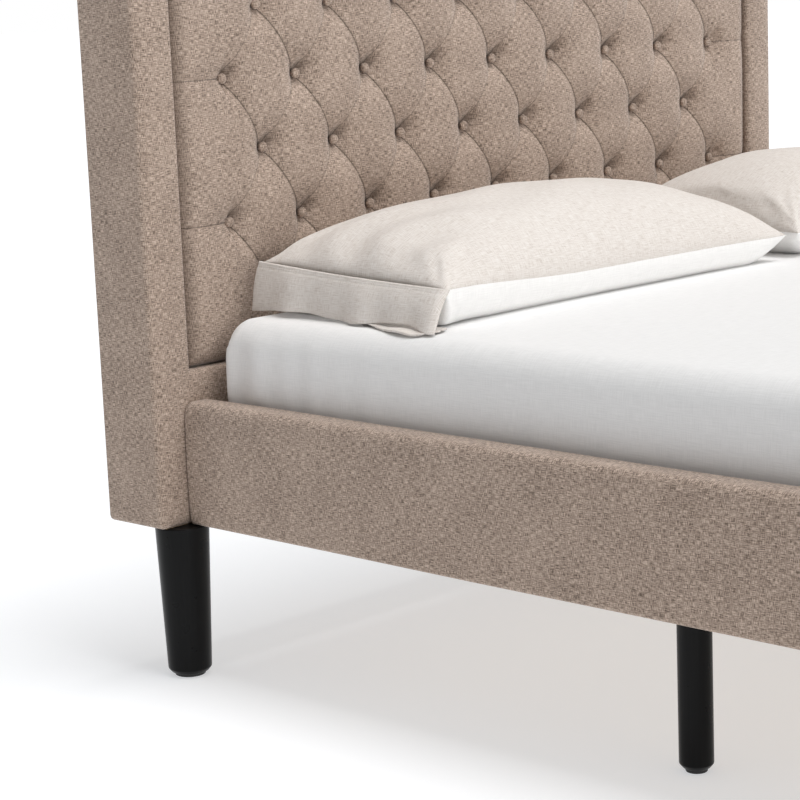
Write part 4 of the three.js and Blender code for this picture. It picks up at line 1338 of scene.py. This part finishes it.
class BED_OT_stage(bpy.types.Operator):
    """Makes the floor, the lights and the camera"""

    bl_idname = "bed.stage"
    bl_label = "Stage"

    def execute(self, context):
        sizes = context.scene.bed_sizes
        scene = bpy.context.scene
        half = FLOOR_HALF
        mesh = bpy.data.meshes.new("floor")
        mesh.from_pydata([(-half, -half, 0), (half, -half, 0), (half, half, 0), (-half, half, 0)],
                         [], [(0, 1, 2, 3)])
        mesh.materials.append(finish("floor"))
        floor = bpy.data.objects.new("floor", mesh)
        scene.collection.objects.link(floor)

        world = bpy.data.worlds.new("studio")
        scene.world = world
        world.use_nodes = True
        tree = world.node_tree
        # The backdrop itself is white, and lights the bed a little less than it looks.
        ray = tree.nodes.new("ShaderNodeLightPath")
        strength = tree.nodes.new("ShaderNodeMapRange")
        strength.inputs["To Min"].default_value = sizes.sky_light
        strength.inputs["To Max"].default_value = 1.0
        tree.links.new(ray.outputs["Is Camera Ray"], strength.inputs["Value"])
        background = tree.nodes["Background"]
        background.inputs["Color"].default_value = (1.0, 1.0, 1.0, 1.0)
        tree.links.new(strength.outputs["Result"], background.inputs["Strength"])
        self.soft_sun("key", KEY_FROM, sizes.key_light)
        self.soft_sun("front_fill", FRONT_FROM, sizes.front_light)

        camera = bpy.data.objects.new("camera", bpy.data.cameras.new("camera"))
        camera.data.sensor_width = SENSOR
        camera.data.lens = LENS
        camera.data.clip_start, camera.data.clip_end = 0.05, 200.0
        camera.data.dof.use_dof = False
        azimuth, elevation, roll = np.radians(CAMERA_TURN)
        back = np.array([math.sin(azimuth) * math.cos(elevation),
                         -math.cos(azimuth) * math.cos(elevation), math.sin(elevation)])
        right = np.cross((0, 0, 1), back)
        right /= np.linalg.norm(right)
        up = np.cross(back, right)
        turned_right = math.cos(roll) * right + math.sin(roll) * up
        turned_up = -math.sin(roll) * right + math.cos(roll) * up
        camera.matrix_world = placed(turned_right, turned_up, back, CAMERA_PLACE)
        scene.collection.objects.link(camera)
        scene.camera = camera
        scene.view_settings.view_transform = "Standard"
        return {"FINISHED"}

    def soft_sun(self, name, direction, power):
        """A wide soft light that comes from a direction."""
        light = bpy.data.lights.new(name, "SUN")
        light.energy, light.angle = power, math.radians(SUN_WIDTH)
        lamp = bpy.data.objects.new(name, light)
        back = np.array(direction) / np.linalg.norm(direction)
        right = np.cross((0, 0, 1), back)
        right /= np.linalg.norm(right)
        lamp.matrix_world = placed(right, np.cross(back, right), back, (0, 0, 5))
        bpy.context.scene.collection.objects.link(lamp)


class BED_PT_panel(bpy.types.Panel):
    """Lists the pieces of the bed and its sizes and colours"""

    bl_idname = "BED_PT_panel"
    bl_label = "Upholstered bed"
    bl_space_type = "VIEW_3D"
    bl_region_type = "UI"
    bl_category = "Bed"

    def draw(self, context):
        layout = self.layout
        for operator in OPERATORS:
            layout.operator(operator.bl_idname)
        for group in (context.scene.bed_sizes, context.scene.bed_colours):
            column = layout.column(align=True)
            for name in group.__annotations__:
                column.prop(group, name)


OPERATORS = (BED_OT_stage, BED_OT_border, BED_OT_tufting, BED_OT_buttons, BED_OT_rails,
             BED_OT_mattress, BED_OT_sheet, BED_OT_pillows, BED_OT_legs, BED_OT_base,
             BED_OT_dust_cover, BED_OT_carcass)
CLASSES = (BedSizes, BedColours, *OPERATORS, BED_PT_panel)


def register():
    for made in CLASSES:
        bpy.utils.register_class(made)
    bpy.types.Scene.bed_sizes = PointerProperty(type=BedSizes)
    bpy.types.Scene.bed_colours = PointerProperty(type=BedColours)


def unregister():
    del bpy.types.Scene.bed_colours
    del bpy.types.Scene.bed_sizes
    for made in reversed(CLASSES):
        bpy.utils.unregister_class(made)


def main():
    """Makes the whole bed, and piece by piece."""
    register()
    for operator in OPERATORS:
        group, name = operator.bl_idname.split(".")
        getattr(getattr(bpy.ops, group), name)()


if __name__ == "__main__":
    main()
